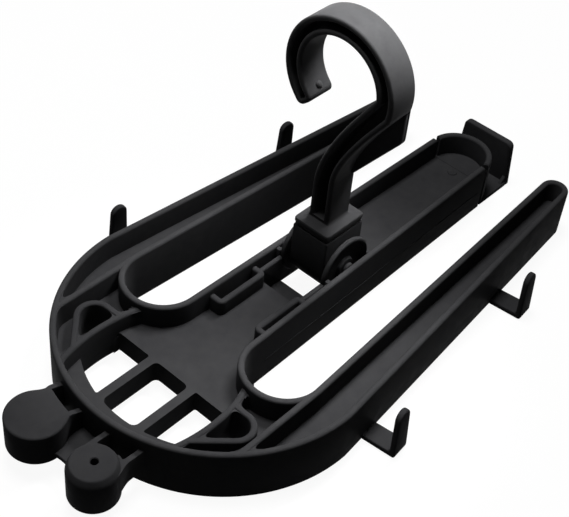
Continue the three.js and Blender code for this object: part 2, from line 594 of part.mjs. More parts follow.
function holedBoss() {
  const shoulder = HOLED_BOSS_TOP - HOLED_BOSS_CHAMFER_HEIGHT;
  const body = turned(BOSS_X, BOSS_Y, [
    [0, HOLED_BOSS_BOTTOM],
    [HOLED_BOSS_RADIUS, HOLED_BOSS_BOTTOM],
    [HOLED_BOSS_RADIUS, shoulder],
    [HOLED_BOSS_TOP_RADIUS, HOLED_BOSS_TOP],
    [0, HOLED_BOSS_TOP],
  ], ROUND_SIDES).add(bossRibs(BOSS_X));
  return body.subtract(uprightRound(BOSS_X, BOSS_Y + HOLED_BOSS_HOLE_SETBACK, HOLED_BOSS_HOLE_RADIUS,
    HOLED_BOSS_BOTTOM - OVERRUN, HOLED_BOSS_TOP + OVERRUN));
}

// The low web between the two bosses, with a hollow front edge
function bossWeb() {
  const half = BOSS_X - BOSS_RIB_OFFSET_X - BOSS_RIB_WIDTH / 2 - SEAM;
  const frontY = -FRAME_RADIUS - BOSS_WEB_REACH;
  const shape = new THREE.Shape();
  shape.moveTo(-half, 0);
  shape.lineTo(-half, frontY);
  shape.quadraticCurveTo(0, frontY + 2 * BOSS_WEB_HOLLOW, half, frontY);
  shape.lineTo(half, 0);
  const cuts = [
    uprightRound(0, 0, FRAME_RADIUS + SEAM, 0, BOSS_WEB_TOP + OVERRUN, true, 2 * ROUND_SIDES),
    uprightRound(-BOSS_X, BOSS_Y, PLAIN_BOSS_RADIUS + SEAM, 0, BOSS_WEB_TOP + OVERRUN, true, ROUND_SIDES),
    uprightRound(BOSS_X, BOSS_Y, HOLED_BOSS_RADIUS + SEAM, 0, BOSS_WEB_TOP + OVERRUN, true, ROUND_SIDES),
  ];
  const web = raised(shape, BOSS_WEB_TOP - BOSS_WEB_THICKNESS, BOSS_WEB_TOP);
  return cuts.reduce((body, cut) => body.subtract(cut), web);
}

// Curves of the hook, drawn across X and Z from the tip to the foot

function arcPoints(radius, from, to) {
  const points = [];
  for (let i = 0; i <= LOOP_STEPS; i += 1) {
    const angle = from + ((to - from) * i) / LOOP_STEPS;
    points.push(new THREE.Vector2(radius * Math.cos(angle), LOOP_CENTRE_Z + radius * Math.sin(angle)));
  }
  return points;
}

// One edge of the hook: round the loop, then an S bend into the straight stem.
function hookEdge(radius, leave, bendX, bendZ, ease, stemX, stemTop, footZ) {
  const points = arcPoints(radius, TIP_ANGLE, leave);
  const start = points[points.length - 1];
  const bend = new THREE.CubicBezierCurve(start, new THREE.Vector2(bendX, bendZ),
    new THREE.Vector2(stemX, stemTop + ease), new THREE.Vector2(stemX, stemTop));
  points.push(...bend.getPoints(CURVE_POINTS).slice(1), new THREE.Vector2(stemX, footZ));
  return points;
}

const outerEdge = (footZ) => hookEdge(LOOP_OUTER_RADIUS, OUTER_LEAVE_ANGLE,
  LOOP_OUTER_RADIUS - OUTER_BEND_INSET, LOOP_CENTRE_Z - OUTER_BEND_DROP,
  OUTER_EASE, STEM_OUTER_X, STEM_OUTER_TOP_Z, footZ);
const throatEdge = (footZ) => hookEdge(LOOP_THROAT_RADIUS, THROAT_LEAVE_ANGLE,
  LOOP_THROAT_RADIUS - THROAT_BEND_INSET, LOOP_CENTRE_Z - THROAT_BEND_DROP,
  THROAT_EASE, STEM_THROAT_X, STEM_THROAT_TOP_Z, footZ);

// The same run of points, moved sideways by a distance.
function offset(points, distance) {
  return points.map((point, i) => {
    const before = points[Math.max(i - 1, 0)];
    const after = points[Math.min(i + 1, points.length - 1)];
    const along = after.clone().sub(before).normalize();
    return new THREE.Vector2(point.x - along.y * distance, point.y + along.x * distance);
  });
}

function hookFin() {
  const shape = new THREE.Shape();
  const inside = FIN_X - FLANGE;
  shape.moveTo(inside, FIN_TOP_Z);
  shape.lineTo(0, STEM_OUTER_TOP_Z + FLANGE);
  shape.lineTo(0, STEM_OUTER_TOP_Z);
  shape.lineTo(STEM_OUTER_X, STEM_OUTER_TOP_Z);
  shape.lineTo(FIN_X - FIN_CORNER_RADIUS, FIN_CORNER_Z - FIN_CORNER_RADIUS);
  shape.quadraticCurveTo(FIN_X, FIN_CORNER_Z, FIN_X, FIN_CORNER_Z + FIN_CORNER_RADIUS);
  shape.lineTo(FIN_X, FIN_TOP_Z);
  return acrossY(shape, HOOK_FAR_Y - HOOK_WEB, HOOK_FAR_Y, CORNER_STEPS);
}

// The sloping foot that spreads the stem over the foot plate
function hookFoot() {
  const half = BLOCK_HALF_WIDTH - FOOT_EDGE;
  const depth = BLOCK_HALF_DEPTH - FOOT_EDGE;
  const corners = [];
  for (const side of [-1, 1]) {
    for (const way of [-1, 1]) {
      corners.push(new THREE.Vector3(side * half, PIVOT_Y + way * depth, FOOT_TOP));
      corners.push(new THREE.Vector3(side > 0 ? STEM_OUTER_X : STEM_THROAT_X,
        PIVOT_Y + (way * HOOK_WIDTH) / 2, FOOT_TOP + FOOT_SLOPE));
    }
  }
  const slope = solid(new ConvexGeometry(corners));
  const plate = block(-BLOCK_HALF_WIDTH, BLOCK_HALF_WIDTH, PIVOT_Y - BLOCK_HALF_DEPTH,
    PIVOT_Y + BLOCK_HALF_DEPTH, FOOT_BOTTOM, FOOT_TOP);
  const pocketTop = FOOT_BOTTOM + STUD_HEAD_HEIGHT + FACE_GAP;
  return plate.add(slope).subtract(uprightRound(0, PIVOT_Y, STUD_HEAD_RADIUS + HEAD_FIT,
    FOOT_BOTTOM - OVERRUN, pocketTop, true));
}

function hook() {
  const outline = new THREE.Shape([...outerEdge(FOOT_TOP), ...throatEdge(FOOT_TOP).reverse()]);
  const recessFoot = FOOT_TOP + FOOT_SLOPE / 2;
  const recessOuter = offset(outerEdge(recessFoot), -FLANGE);
  const recessThroat = offset(throatEdge(recessFoot), FLANGE);
  const recess = new THREE.Shape([...recessOuter, ...recessThroat.reverse()]);
  const tipX = Math.cos(TIP_ANGLE) * (LOOP_OUTER_RADIUS + LOOP_THROAT_RADIUS) / 2;
  const tipZ = LOOP_CENTRE_Z + Math.sin(TIP_ANGLE) * (LOOP_OUTER_RADIUS + LOOP_THROAT_RADIUS) / 2;
  const tipHalf = (LOOP_OUTER_RADIUS - LOOP_THROAT_RADIUS) / 2;
  const tip = new THREE.Shape();
  tip.absarc(tipX, tipZ, tipHalf, 0, 2 * Math.PI, false);
  const body = acrossY(outline, HOOK_NEAR_Y, HOOK_FAR_Y, CORNER_STEPS)
    .add(acrossY(tip, HOOK_NEAR_Y, HOOK_FAR_Y, CORNER_STEPS * 2))
    .subtract(acrossY(recess, HOOK_NEAR_Y - OVERRUN, HOOK_FAR_Y - HOOK_WEB, CORNER_STEPS));
  return joined([body, hookFin(), hookFoot()]);
}

// The pieces between the hook and the frame

function wearPlate() {
  const plate = block(-BLOCK_HALF_WIDTH, BLOCK_HALF_WIDTH, PIVOT_Y - BLOCK_HALF_DEPTH,
    PIVOT_Y + BLOCK_HALF_DEPTH, BLOCK_TOP + PLATE_GAP, FOOT_BOTTOM);
  return plate.subtract(uprightRound(0, PIVOT_Y, STUD_RADIUS + EASY_FIT, BLOCK_TOP, FOOT_TOP, true));
}

function swivelStud() {
  return turned(0, PIVOT_Y, [
    [0, STUD_END_Z],
    [STUD_RADIUS, STUD_END_Z],
    [STUD_RADIUS, FOOT_BOTTOM],
    [STUD_HEAD_RADIUS, FOOT_BOTTOM],
    [STUD_HEAD_RADIUS, FOOT_BOTTOM + STUD_HEAD_HEIGHT],
    [0, FOOT_BOTTOM + STUD_HEAD_HEIGHT],
  ]);
}

// A flat ring round the stud, hexagonal for the nut.
function stuckOnStud(radius, low, high, sides) {
  const ring = uprightRound(0, PIVOT_Y, radius, low, high, false, sides);
  return ring.subtract(uprightRound(0, PIVOT_Y, STUD_RADIUS + RUNNING_FIT,
    low - OVERRUN, high + OVERRUN, true));
}

const washer = () => stuckOnStud(WASHER_RADIUS, NUT_TOP, WASHER_TOP, SMALL_SIDES);
const nut = () => stuckOnStud(NUT_CORNER_RADIUS, NUT_TOP - NUT_HEIGHT, NUT_TOP, NUT_SIDES);

function pivotBlock() {
  const shape = new THREE.Shape();
  shape.moveTo(PIVOT_Y + BLOCK_HALF_DEPTH, BLOCK_TOP);
  shape.lineTo(PIVOT_Y - BLOCK_HALF_DEPTH, BLOCK_TOP);
  shape.absarc(PIVOT_Y, PIVOT_Z, BLOCK_HALF_DEPTH, Math.PI, 2 * Math.PI, false);
  const low = PIVOT_Z - BLOCK_HALF_DEPTH - OVERRUN;
  return acrossX(shape, -BLOCK_HALF_WIDTH, BLOCK_HALF_WIDTH)
    .subtract(uprightRound(0, PIVOT_Y, CHAMBER_RADIUS, low, CHAMBER_TOP))
    .subtract(uprightRound(0, PIVOT_Y, STUD_RADIUS + RUNNING_FIT, CHAMBER_TOP - OVERRUN,
      BLOCK_TOP + OVERRUN, true))
    .subtract(pivotRound(AXLE_RADIUS + RUNNING_FIT, -BLOCK_HALF_WIDTH - OVERRUN,
      BLOCK_HALF_WIDTH + OVERRUN, true));
}

function cheek(side) {
  const outerX = CHEEK_INNER_X + CHEEK_THICKNESS;
  return pivotRound(CHEEK_RADIUS, ...sorted(side * CHEEK_INNER_X, side * outerX), false, ROUND_SIDES)
    .add(pivotRound(CHEEK_HUB_RADIUS, ...sorted(side * (BLOCK_HALF_WIDTH + FACE_GAP), side * outerX)))
    .subtract(pivotRound(AXLE_RADIUS + RUNNING_FIT, ...sorted(0, side * (outerX + OVERRUN)), true));
}

function spacer(side) {
  const from = CHEEK_INNER_X + CHEEK_THICKNESS + FACE_GAP;
  const to = spineX(PIVOT_Y + SPACER_RADIUS) - WALL - FACE_GAP;
  return pivotRound(SPACER_RADIUS, ...sorted(side * from, side * to))
    .subtract(pivotRound(AXLE_RADIUS + RUNNING_FIT, ...sorted(0, side * (to + OVERRUN)), true));
}

function axle() {
  const half = PIVOT_WALL_X + AXLE_DEPTH_IN_WALL;
  return pivotRound(AXLE_RADIUS, -half, half);
}

// The whole hanger
const hanger = new THREE.Group();
const arm = part('frame_right_arm', rightArm(), black);
const otherArm = part('frame_left_arm', rightArm(), black);
otherArm.geometry = mirrored(otherArm.geometry);
hanger.add(
  part('frame_round_end', roundEnd(), black),
  arm,
  otherArm,
  part('frame_spine', spine(), black),
  part('end_stop', endStop(), black),
  part('end_stop_rivet', rivet(), black),
  part('plain_boss', plainBoss(), black),
  part('holed_boss', holedBoss(), black),
  part('boss_web', bossWeb(), black),
  part('pivot_block', pivotBlock(), black),
  part('cheek_right', cheek(1), black),
  part('cheek_left', cheek(-1), black),
  part('axle_spacer_right', spacer(1), black),
  part('axle_spacer_left', spacer(-1), black),
  part('fold_axle', axle(), steel),
  part('hook', hook(), hookBlack),
  part('wear_plate', wearPlate(), hookBlack),
  part('swivel_stud', swivelStud(), steel),
  part('swivel_washer', washer(), steel),
  part('swivel_nut', nut(), steel),
);
for (const y of PEG_PLACES_Y) {
  for (const side of [1, -1]) hanger.add(glovePeg(side, y));
}

// The origin goes to the middle of the underside.
const nearEnd = BOSS_Y - PLAIN_BOSS_RADIUS;
const farEnd = TAB_FRONT_Y + TAB_THICKNESS;
hanger.position.y = -(nearEnd + farEnd) / 2;

export default hanger;
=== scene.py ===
"""A folding drysuit hanger in moulded black plastic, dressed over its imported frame."""
import logging
import math
from dataclasses import dataclass
from enum import Enum
from typing import Callable, Iterable, Sequence

import bmesh
import bpy
from mathutils import Matrix, Vector
from mathutils.geometry import interpolate_bezier


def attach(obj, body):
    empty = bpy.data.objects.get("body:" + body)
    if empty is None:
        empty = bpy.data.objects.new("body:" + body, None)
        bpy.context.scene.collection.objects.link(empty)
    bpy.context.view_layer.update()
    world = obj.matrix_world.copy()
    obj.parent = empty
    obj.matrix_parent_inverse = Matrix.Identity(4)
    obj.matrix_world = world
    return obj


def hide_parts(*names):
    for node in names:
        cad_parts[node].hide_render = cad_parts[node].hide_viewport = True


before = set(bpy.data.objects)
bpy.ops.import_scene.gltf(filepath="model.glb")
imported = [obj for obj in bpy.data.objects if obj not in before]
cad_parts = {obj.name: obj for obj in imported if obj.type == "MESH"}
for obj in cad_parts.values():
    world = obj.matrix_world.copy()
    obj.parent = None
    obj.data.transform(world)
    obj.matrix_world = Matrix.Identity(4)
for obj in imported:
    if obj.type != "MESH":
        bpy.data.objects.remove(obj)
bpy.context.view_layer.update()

log = logging.getLogger("hanger")

# A pair is two coordinates or two limits, and a bore's triple is its radius, low end and high end

Pair = tuple[float, float]
Triple = tuple[float, float, float]
Outline = list[Pair]
Solid = bmesh.types.BMesh
Edge = bmesh.types.BMEdge
Socket = bpy.types.NodeSocket

MILLIMETRE = 0.001
SIDES = {1: "right", -1: "left"}


@dataclass(frozen=True)
class SharedSizes:
    """Sizes that several pieces share, in millimetres from the round end's centre."""

    origin_y: float = 80.6
    height: float = 43.2
    radius: float = 120.0
    wall: float = 5.0
    rim_round: float = 2.1
    foot_round: float = 0.8
    arm_length: float = 302.0
    arm_end_x: float = 92.1
    deck: Pair = (20.0, 24.0)
    pivot_y: float = 110.0
    pivot_z: float = 38.0
    axle_bore: float = 3.05
    cut: Pair = (-2.0, 50.0)


HANGER = SharedSizes()
HALF_WALL = HANGER.wall / 2

# How far a deck reaches into its neighbour

OVERLAP = 0.5

# How far a cutting block reaches past what it cuts

MARGIN = 1.0

# A hair's breadth, which keeps two faces apart or finds what lies on one

HAIR = 0.01

# How near makes two points one

SAME_POINT = 0.01


class Body(Enum):
    """The three bodies that pieces ride on."""

    FRAME = "frame"
    FOLD_BLOCK = "fold_block"
    HOOK = "hook"


class Slot(Enum):
    """The record's material slots."""

    FRAME_PLASTIC = "frame_plastic"
    HOOK_PLASTIC = "hook_plastic"
    STEEL = "steel"


class Axis(Enum):
    """The direction that an outline is carried along, with the turn from Z to it."""

    X = ((0, 0, 1, 0), (1, 0, 0, 0), (0, 1, 0, 0), (0, 0, 0, 1))
    Y = ((1, 0, 0, 0), (0, 0, 1, 0), (0, 1, 0, 0), (0, 0, 0, 1))
    Z = ((1, 0, 0, 0), (0, 1, 0, 0), (0, 0, 1, 0), (0, 0, 0, 1))


class Join(Enum):
    """How one solid is put to another."""

    ADD = "UNION"
    CUT = "DIFFERENCE"
    KEEP_COMMON = "INTERSECT"


# Drawing aids


def arc(centre: Pair, radius: float, start: float, end: float, steps: int) -> Outline:
    """Points along an arc.

    Args:
        centre: the arc's centre.
        radius: its radius.
        start: the first angle, in degrees.
        end: the last angle, in degrees.
        steps: how many straight steps it has.

    Returns:
        steps + 1 points, both ends among them.
    """
    points = []
    for step in range(steps + 1):
        angle = math.radians(start + (end - start) * step / steps)
        points.append((centre[0] + radius * math.cos(angle), centre[1] + radius * math.sin(angle)))
    return points


def rounded_box(left: float, right: float, low: float, high: float, foot: float, head: float) -> Outline:
    """A four-sided outline with rounded corners.

    Args:
        left: the lowest first coordinate.
        right: the highest first coordinate.
        low: the lowest second coordinate.
        high: the highest second coordinate.
        foot: the radius of the two low corners.
        head: the radius of the two high corners.

    Returns:
        The outline's points, counterclockwise.
    """
    return (arc((left + foot, low + foot), foot, 180, 270, 4)
            + arc((right - foot, low + foot), foot, 270, 360, 4)
            + arc((right - head, high - head), head, 0, 90, 4)
            + arc((left + head, high - head), head, 90, 180, 4))


def wall_section(width: float, low: float, high: float, head: float) -> Outline:
    """A wall's cross section with a rounded head."""
    return rounded_box(-width / 2, width / 2, low, high, HANGER.foot_round, head)


def full_section() -> Outline:
    """The cross section of a wall as high as the frame."""
    return wall_section(HANGER.wall, 0, HANGER.height, HANGER.rim_round)


def straight(start: Pair, end: Pair, steps: int) -> Outline:
    """Points along a straight line, both ends among them."""
    return [(start[0] + (end[0] - start[0]) * i / steps,
             start[1] + (end[1] - start[1]) * i / steps) for i in range(steps + 1)]


def soft_curve(start: Pair, first: Pair, second: Pair, end: Pair, count: int = 8) -> Outline:
    """Points along a curve drawn by its two ends and two handles."""
    ends = (Vector(point) for point in (start, first, second, end))
    return [(p.x, p.y) for p in interpolate_bezier(*ends, count)]


def flipped(points: Outline) -> Outline:
    """The mirror image of a plan outline across X = 0."""
    return [(-x, y) for x, y in points]


def beside(point: Pair, right: float, up: float) -> Pair:
    """The point a little to the right of another and above it."""
    return point[0] + right, point[1] + up


def span(side: int, inner: float, outer: float) -> list[float]:
    """Two distances from the middle plane on one side, the lower coordinate first."""
    return sorted((side * inner, side * outer))


def without_repeats(points: Outline) -> Outline:
    """Drops each point that falls on the one before it.

    Args:
        points: the outline or path.

    Returns:
        The points that are left.
    """
    kept = [points[0]]
    for point in points[1:]:
        if math.dist(point, kept[-1]) > SAME_POINT:
            kept.append(point)
    return kept


# Solids


def swept(section: Outline, places: Sequence[Matrix]) -> Solid:
    """A solid that a cross section leaves behind as it is carried from place to place.

    Args:
        section: the cross section, drawn across a place's own X and Z.
        places: one matrix for each place.

    Returns:
        A closed solid in millimetres.
    """
    bm = bmesh.new()
    verts = [bm.verts.new(places[0] @ Vector((u, 0, z))) for u, z in section]
    ring = [bm.edges.new((verts[i - 1], verts[i])) for i in range(len(verts))]
    bmesh.ops.contextual_create(bm, geom=ring)
    for before, after in zip(places, places[1:]):
        made = bmesh.ops.extrude_edge_only(bm, edges=ring)["geom"]
        verts = [item for item in made if isinstance(item, bmesh.types.BMVert)]
        bmesh.ops.transform(bm, matrix=after @ before.inverted(), verts=verts)
        fresh = set(verts)
        ring = [item for item in made if isinstance(item, Edge)
                and item.verts[0] in fresh and item.verts[1] in fresh]
    bmesh.ops.contextual_create(bm, geom=ring)
    bmesh.ops.recalc_face_normals(bm, faces=bm.faces)
    return bm


def places_along(path: Outline) -> list[Matrix]:
    """Places along a plan path, each mitred between its two neighbours.

    Args:
        path: the path's points in plan.

    Returns:
        One matrix for each point: X to the right of the way, Y along it, Z up.
    """
    points = [Vector(point) for point in path]
    ways = [(after - before).normalized() for before, after in zip(points, points[1:])]
    places = []
    for point, into, out in zip(points, [ways[0], *ways], [*ways, ways[-1]]):
        along = (into + out).normalized()
        stretch = 1 / max(along.dot(out), 0.5)
        right = Vector((along.y, -along.x)) * stretch
        places.append(Matrix(((right.x, along.x, 0, point.x), (right.y, along.y, 0, point.y),
                              (0, 0, 1, 0), (0, 0, 0, 1))))
    return places


def wall(path: Outline, section: Outline) -> Solid:
    """A wall of one cross section along a plan path."""
    return swept(section, places_along(without_repeats(path)))


def twin_walls(path: Outline, section: Outline) -> list[Solid]:
    """A wall on the right side and its mirror image on the left."""
    return [wall(path, section), wall(flipped(path), section)]


def prism(outline: Outline, axis: Axis, low: float, high: float) -> Solid:
    """An outline carried straight from one level to another.

    Args:
        outline: points across Y and Z for axis X, X and Z for axis Y, X and Y for axis Z.
        axis: the direction it is carried along.
        low: the first level along the axis.
        high: the last level along the axis.

    Returns:
        A closed solid in millimetres.
    """
    bm = bmesh.new()
    turn = Matrix(axis.value)
    verts = [bm.verts.new(turn @ Vector((u, v, low))) for u, v in without_repeats(outline)]
    face = bm.faces.new(verts)
    made = bmesh.ops.extrude_face_region(bm, geom=[face])["geom"]
    lift = turn.to_3x3() @ Vector((0, 0, high - low))
    bmesh.ops.translate(bm, vec=lift, verts=[v for v in made if isinstance(v, bmesh.types.BMVert)])
    bmesh.ops.recalc_face_normals(bm, faces=bm.faces)
    return bm


def twin_prisms(outline: Outline, low: float, high: float) -> list[Solid]:
    """An upright prism on the right side and its mirror image on the left."""
    return [prism(outline, Axis.Z, low, high), prism(flipped(outline), Axis.Z, low, high)]


def box(x0: float, x1: float, y0: float, y1: float, z0: float, z1: float) -> Solid:
    """A plain block between the given coordinates."""
    return prism([(x0, y0), (x1, y0), (x1, y1), (x0, y1)], Axis.Z, z0, z1)


def turned(pairs: Outline, centre: Triple, axis: Axis, steps: int) -> Solid:
    """A turned solid.

    Args:
        pairs: radius and height along the axis, from one end of the axis to the other.
        centre: the point that heights are measured from.
        axis: the axis that it is turned about.
        steps: how many straight steps go round.

    Returns:
        A closed solid in millimetres.
    """
    bm = bmesh.new()
    verts = [bm.verts.new((radius, 0, height)) for radius, height in pairs]
    edges = [bm.edges.new(pair) for pair in zip(verts, verts[1:])]
    bmesh.ops.spin(bm, geom=verts + edges, cent=(0, 0, 0), axis=(0, 0, 1), dvec=(0, 0, 0),
                   angle=math.tau, steps=steps, use_merge=True, use_duplicate=False)
    bmesh.ops.remove_doubles(bm, verts=bm.verts, dist=0.001)
    bmesh.ops.recalc_face_normals(bm, faces=bm.faces)
    turn = Matrix(axis.value)
    turn.translation = centre
    bmesh.ops.transform(bm, matrix=turn, verts=bm.verts)
    bmesh.ops.recalc_face_normals(bm, faces=bm.faces)
    return bm


def bar(radius: float, low: float, high: float, centre: Triple, axis: Axis = Axis.Z,
        steps: int = 32) -> Solid:
    """A plain round bar between two heights on an axis, used to cut bores."""
    return turned([(0, low), (radius, low), (radius, high), (0, high)], centre, axis, steps)


def axle_bar(reach: float) -> Solid:
    """A bar along the fold axis, to cut the axle's bore with."""
    return bar(HANGER.axle_bore, -reach, reach, (0, HANGER.pivot_y, HANGER.pivot_z), Axis.X)


def mirror(bm: Solid) -> None:
    """Turns a solid into its mirror image across X = 0."""
    bmesh.ops.scale(bm, vec=(-1, 1, 1), verts=bm.verts)
    bmesh.ops.reverse_faces(bm, faces=bm.faces)


def drop(edge: Edge) -> float:
    """How far one end of an edge lies above the other."""
    return abs(edge.verts[0].co.z - edge.verts[1].co.z)


def upright(edge: Edge) -> bool:
    """Whether an edge rises."""
    return drop(edge) > 1


def softened(bm: Solid, radius: float, segments: int = 3, sharper: float = 40,
             chosen: Callable[[Edge], bool] | None = None, held: bool = True) -> Solid:
    """Rounds the crisp edges of a solid.

    Args:
        bm: the solid.
        radius: how far the rounding reaches from the edge, in millimetres.
        segments: how many steps it has.
        sharper: the angle between two faces, in degrees, above which their edge is rounded.
        chosen: a test of an edge, or None for all crisp ones.
        held: whether the rounding shrinks where an edge is too short for it.

    Returns:
        The same solid.
    """
    limit = math.radians(sharper)
    edges = [e for e in bm.edges if len(e.link_faces) == 2 and e.calc_face_angle() > limit
             and (chosen is None or chosen(e))]
    bmesh.ops.bevel(bm, geom=edges, offset=radius, offset_type="OFFSET", segments=segments,
                    profile=0.5, affect="EDGES", material=-1, clamp_overlap=held)
    return bm


def as_object(bm: Solid, name: str) -> bpy.types.Object:
    """Puts a solid in the scene as it is.

    Args:
        bm: the solid, which is used up.
        name: the name of the object and its mesh.

    Returns:
        A linked object.
    """
    mesh = bpy.data.meshes.new(name)
    bm.to_mesh(mesh)
    bm.free()
    thing = bpy.data.objects.new(name, mesh)
    bpy.context.scene.collection.objects.link(thing)
    return thing


def combined(base: Solid, others: Iterable[Solid], how: Join) -> Solid:
    """One solid put together with others.

    Args:
        base: the solid that the others are put to. It is used up, as they are.
        others: the other solids.
        how: whether they are added, cut away, or only the common part is kept.

    Returns:
        The solid that comes of it.
    """
    target = as_object(base, "join_base")
    tools = bpy.data.collections.new("join_tools")
    things = [as_object(other, "join_tool") for other in others]
    for thing in things:
        tools.objects.link(thing)
    if how is Join.KEEP_COMMON:
        for thing in things:
            step = target.modifiers.new("join", "BOOLEAN")
            step.operation, step.solver, step.object = how.value, "EXACT", thing
    else:
        step = target.modifiers.new("join", "BOOLEAN")
        step.operation, step.solver = how.value, "EXACT"
        step.operand_type, step.collection = "COLLECTION", tools
    result = target.evaluated_get(bpy.context.evaluated_depsgraph_get())
    bm = bmesh.new()
    bm.from_mesh(result.to_mesh())
    result.to_mesh_clear()
    for thing in [target, *things]:
        mesh = thing.data
        bpy.data.objects.remove(thing)
        bpy.data.meshes.remove(mesh)
    bpy.data.collections.remove(tools)
    bmesh.ops.remove_doubles(bm, verts=bm.verts, dist=0.002)
    bmesh.ops.dissolve_degenerate(bm, edges=bm.edges, dist=0.001)
    return bm


# Finishes


class NodeDesk:
    """Places and wires the nodes of one material or node group."""

    def __init__(self, tree: bpy.types.NodeTree) -> None:
        """Takes the tree that nodes are placed in, and empties it."""
        self.tree = tree
        self.count = 0
        tree.nodes.clear()

    def put(self, kind: str, settings: dict | None = None, **inputs) -> bpy.types.Node:
        """A new node.

        Args:
            kind: the node's type name.
            settings: its properties.
            inputs: sockets by name with "_" for a space, each a value or a socket to join.

        Returns:
            The node.
        """
        node = self.tree.nodes.new(kind)
        node.location = (180 * self.count, -40 * (self.count % 5))
        self.count += 1
        for key, value in (settings or {}).items():
            setattr(node, key, value)
        for key, value in inputs.items():
            self.feed(node, key.replace("_", " "), value)
        return node

    def feed(self, node: bpy.types.Node, socket: str | int, value) -> None:
        """Sets an input, or joins it where the value is an output socket.

        Args:
            node: the node that is fed.
            socket: the input's name or number.
            value: a plain value or an output socket.
        """
        if isinstance(value, Socket):
            self.tree.links.new(value, node.inputs[socket])
        else:
            node.inputs[socket].default_value = value

    def mixed_colour(self, factor: Socket, first: Triple | Socket, second: Triple) -> Socket:
        """A colour between two colours.

        Args:
            factor: 0 for the first colour, 1 for the second.
            first: a colour or an output socket.
            second: a colour.

        Returns:
            The output socket.
        """
        node = self.put("ShaderNodeMix", {"data_type": "RGBA"})
        self.feed(node, 0, factor)
        self.feed(node, 6, first if isinstance(first, Socket) else (*first, 1))
        self.feed(node, 7, (*second, 1))
        return node.outputs[2]

    def ranged(self, value: Socket, low: float, high: float, new_low: float, new_high: float) -> Socket:
        """A value carried from one range to another."""
        return self.put("ShaderNodeMapRange", Value=value, From_Min=low, From_Max=high,
                        To_Min=new_low, To_Max=new_high).outputs[0]

    def sum_of(self, operation: str, first: Socket, second: Socket | float) -> Socket:
        """Two values put through one Math operation.

        Args:
            operation: the operation's name.
            first: an output socket.
            second: an output socket or a number.

        Returns:
            The output socket.
        """
        node = self.put("ShaderNodeMath", {"operation": operation})
        self.feed(node, 0, first)
        self.feed(node, 1, second)
        return node.outputs[0]

    def blend(self, first: Socket, second: Socket, share: float) -> Socket:
        """A share of one value with the rest of another."""
        return self.sum_of("ADD", self.sum_of("MULTIPLY", first, share),
                           self.sum_of("MULTIPLY", second, 1 - share))


def blank_group(name: str, inputs: dict[str, float], outputs: Sequence[str]) -> NodeDesk:
    """A shared node group that has its sockets but nothing in it.

    Args:
        name: the group's name.
        inputs: its number sockets after Position, with their resting values.
        outputs: the number sockets that it gives.

    Returns:
        The new group's desk.
    """
    tree = bpy.data.node_groups.new(name, "ShaderNodeTree")
    tree.interface.new_socket(name="Position", in_out="INPUT", socket_type="NodeSocketVector")
    for key, value in inputs.items():
        socket = tree.interface.new_socket(name=key, in_out="INPUT", socket_type="NodeSocketFloat")
        socket.default_value = value
    for key in outputs:
        tree.interface.new_socket(name=key, in_out="OUTPUT", socket_type="NodeSocketFloat")
    return NodeDesk(tree)


def grain_group(cell_share: float = 0.5, streak_share: float = 7.0) -> bpy.types.NodeTree:
    """The moulded skin that all the plastic shares.

    Args:
        cell_share: the cells' scale, as a share of the grain's.
        streak_share: the streaks' scale, as a share of the patches'.

    Returns:
        A node group: Position, Grain and Patch go in; Height, Tone and Sheen come out.
    """
    desk = blank_group("moulded_skin", {"Grain": 2600.0, "Patch": 22.0}, ("Height", "Tone", "Sheen"))
    given = desk.put("NodeGroupInput").outputs
    place = given["Position"]
    fine = desk.put("ShaderNodeTexNoise", Vector=place, Scale=given["Grain"], Detail=3.0,
                    Roughness=0.6).outputs[0]
    cells = desk.put("ShaderNodeTexVoronoi", {"feature": "SMOOTH_F1"}, Vector=place,
                     Scale=desk.sum_of("MULTIPLY", given["Grain"], cell_share)).outputs[0]
    cloud = desk.put("ShaderNodeTexNoise", Vector=place, Scale=given["Patch"], Detail=4.0,
                     Roughness=0.55).outputs[0]
    streak = desk.put("ShaderNodeTexNoise", Vector=place, Detail=2.0,
                      Scale=desk.sum_of("MULTIPLY", given["Patch"], streak_share)).outputs[0]
    desk.put("NodeGroupOutput", Height=desk.blend(fine, cells, 0.6),
             Tone=desk.blend(cloud, streak, 0.7), Sheen=streak)
    return desk.tree


def rim_highlight_group() -> bpy.types.NodeTree:
    """Painted highlight: lightens the surface near one height, on the frame's rim tops and the hook's upper
    loop where the light falls, broken into patches by noise.

    Returns:
        A node group: Position, Height and Depth go in; Mask comes out.
    """
    desk = blank_group("painted_rim_highlight", {"Height": 0.043, "Depth": 0.002}, ("Mask",))
    given = desk.put("NodeGroupInput").outputs
    level = desk.put("ShaderNodeSeparateXYZ", Vector=given["Position"]).outputs[2]
    start = desk.sum_of("SUBTRACT", given["Height"], given["Depth"])
    near = desk.put("ShaderNodeMapRange", {"interpolation_type": "SMOOTHSTEP"}, Value=level,
                    From_Min=start, From_Max=given["Height"], To_Min=0.0, To_Max=1.0).outputs[0]
    speck = desk.put("ShaderNodeTexNoise", Vector=given["Position"], Scale=140.0, Detail=6.0,
                     Roughness=0.7).outputs[0]
    patchy = desk.ranged(speck, 0.3, 0.75, 0.6, 1.0)
    desk.put("NodeGroupOutput", Mask=desk.sum_of("MULTIPLY", near, patchy))
    return desk.tree


def blank_material(name: str) -> tuple[bpy.types.Material, NodeDesk]:
    """A material with nothing in it, and its desk."""
    material = bpy.data.materials.new(name)
    material.use_nodes = True
    return material, NodeDesk(material.node_tree)


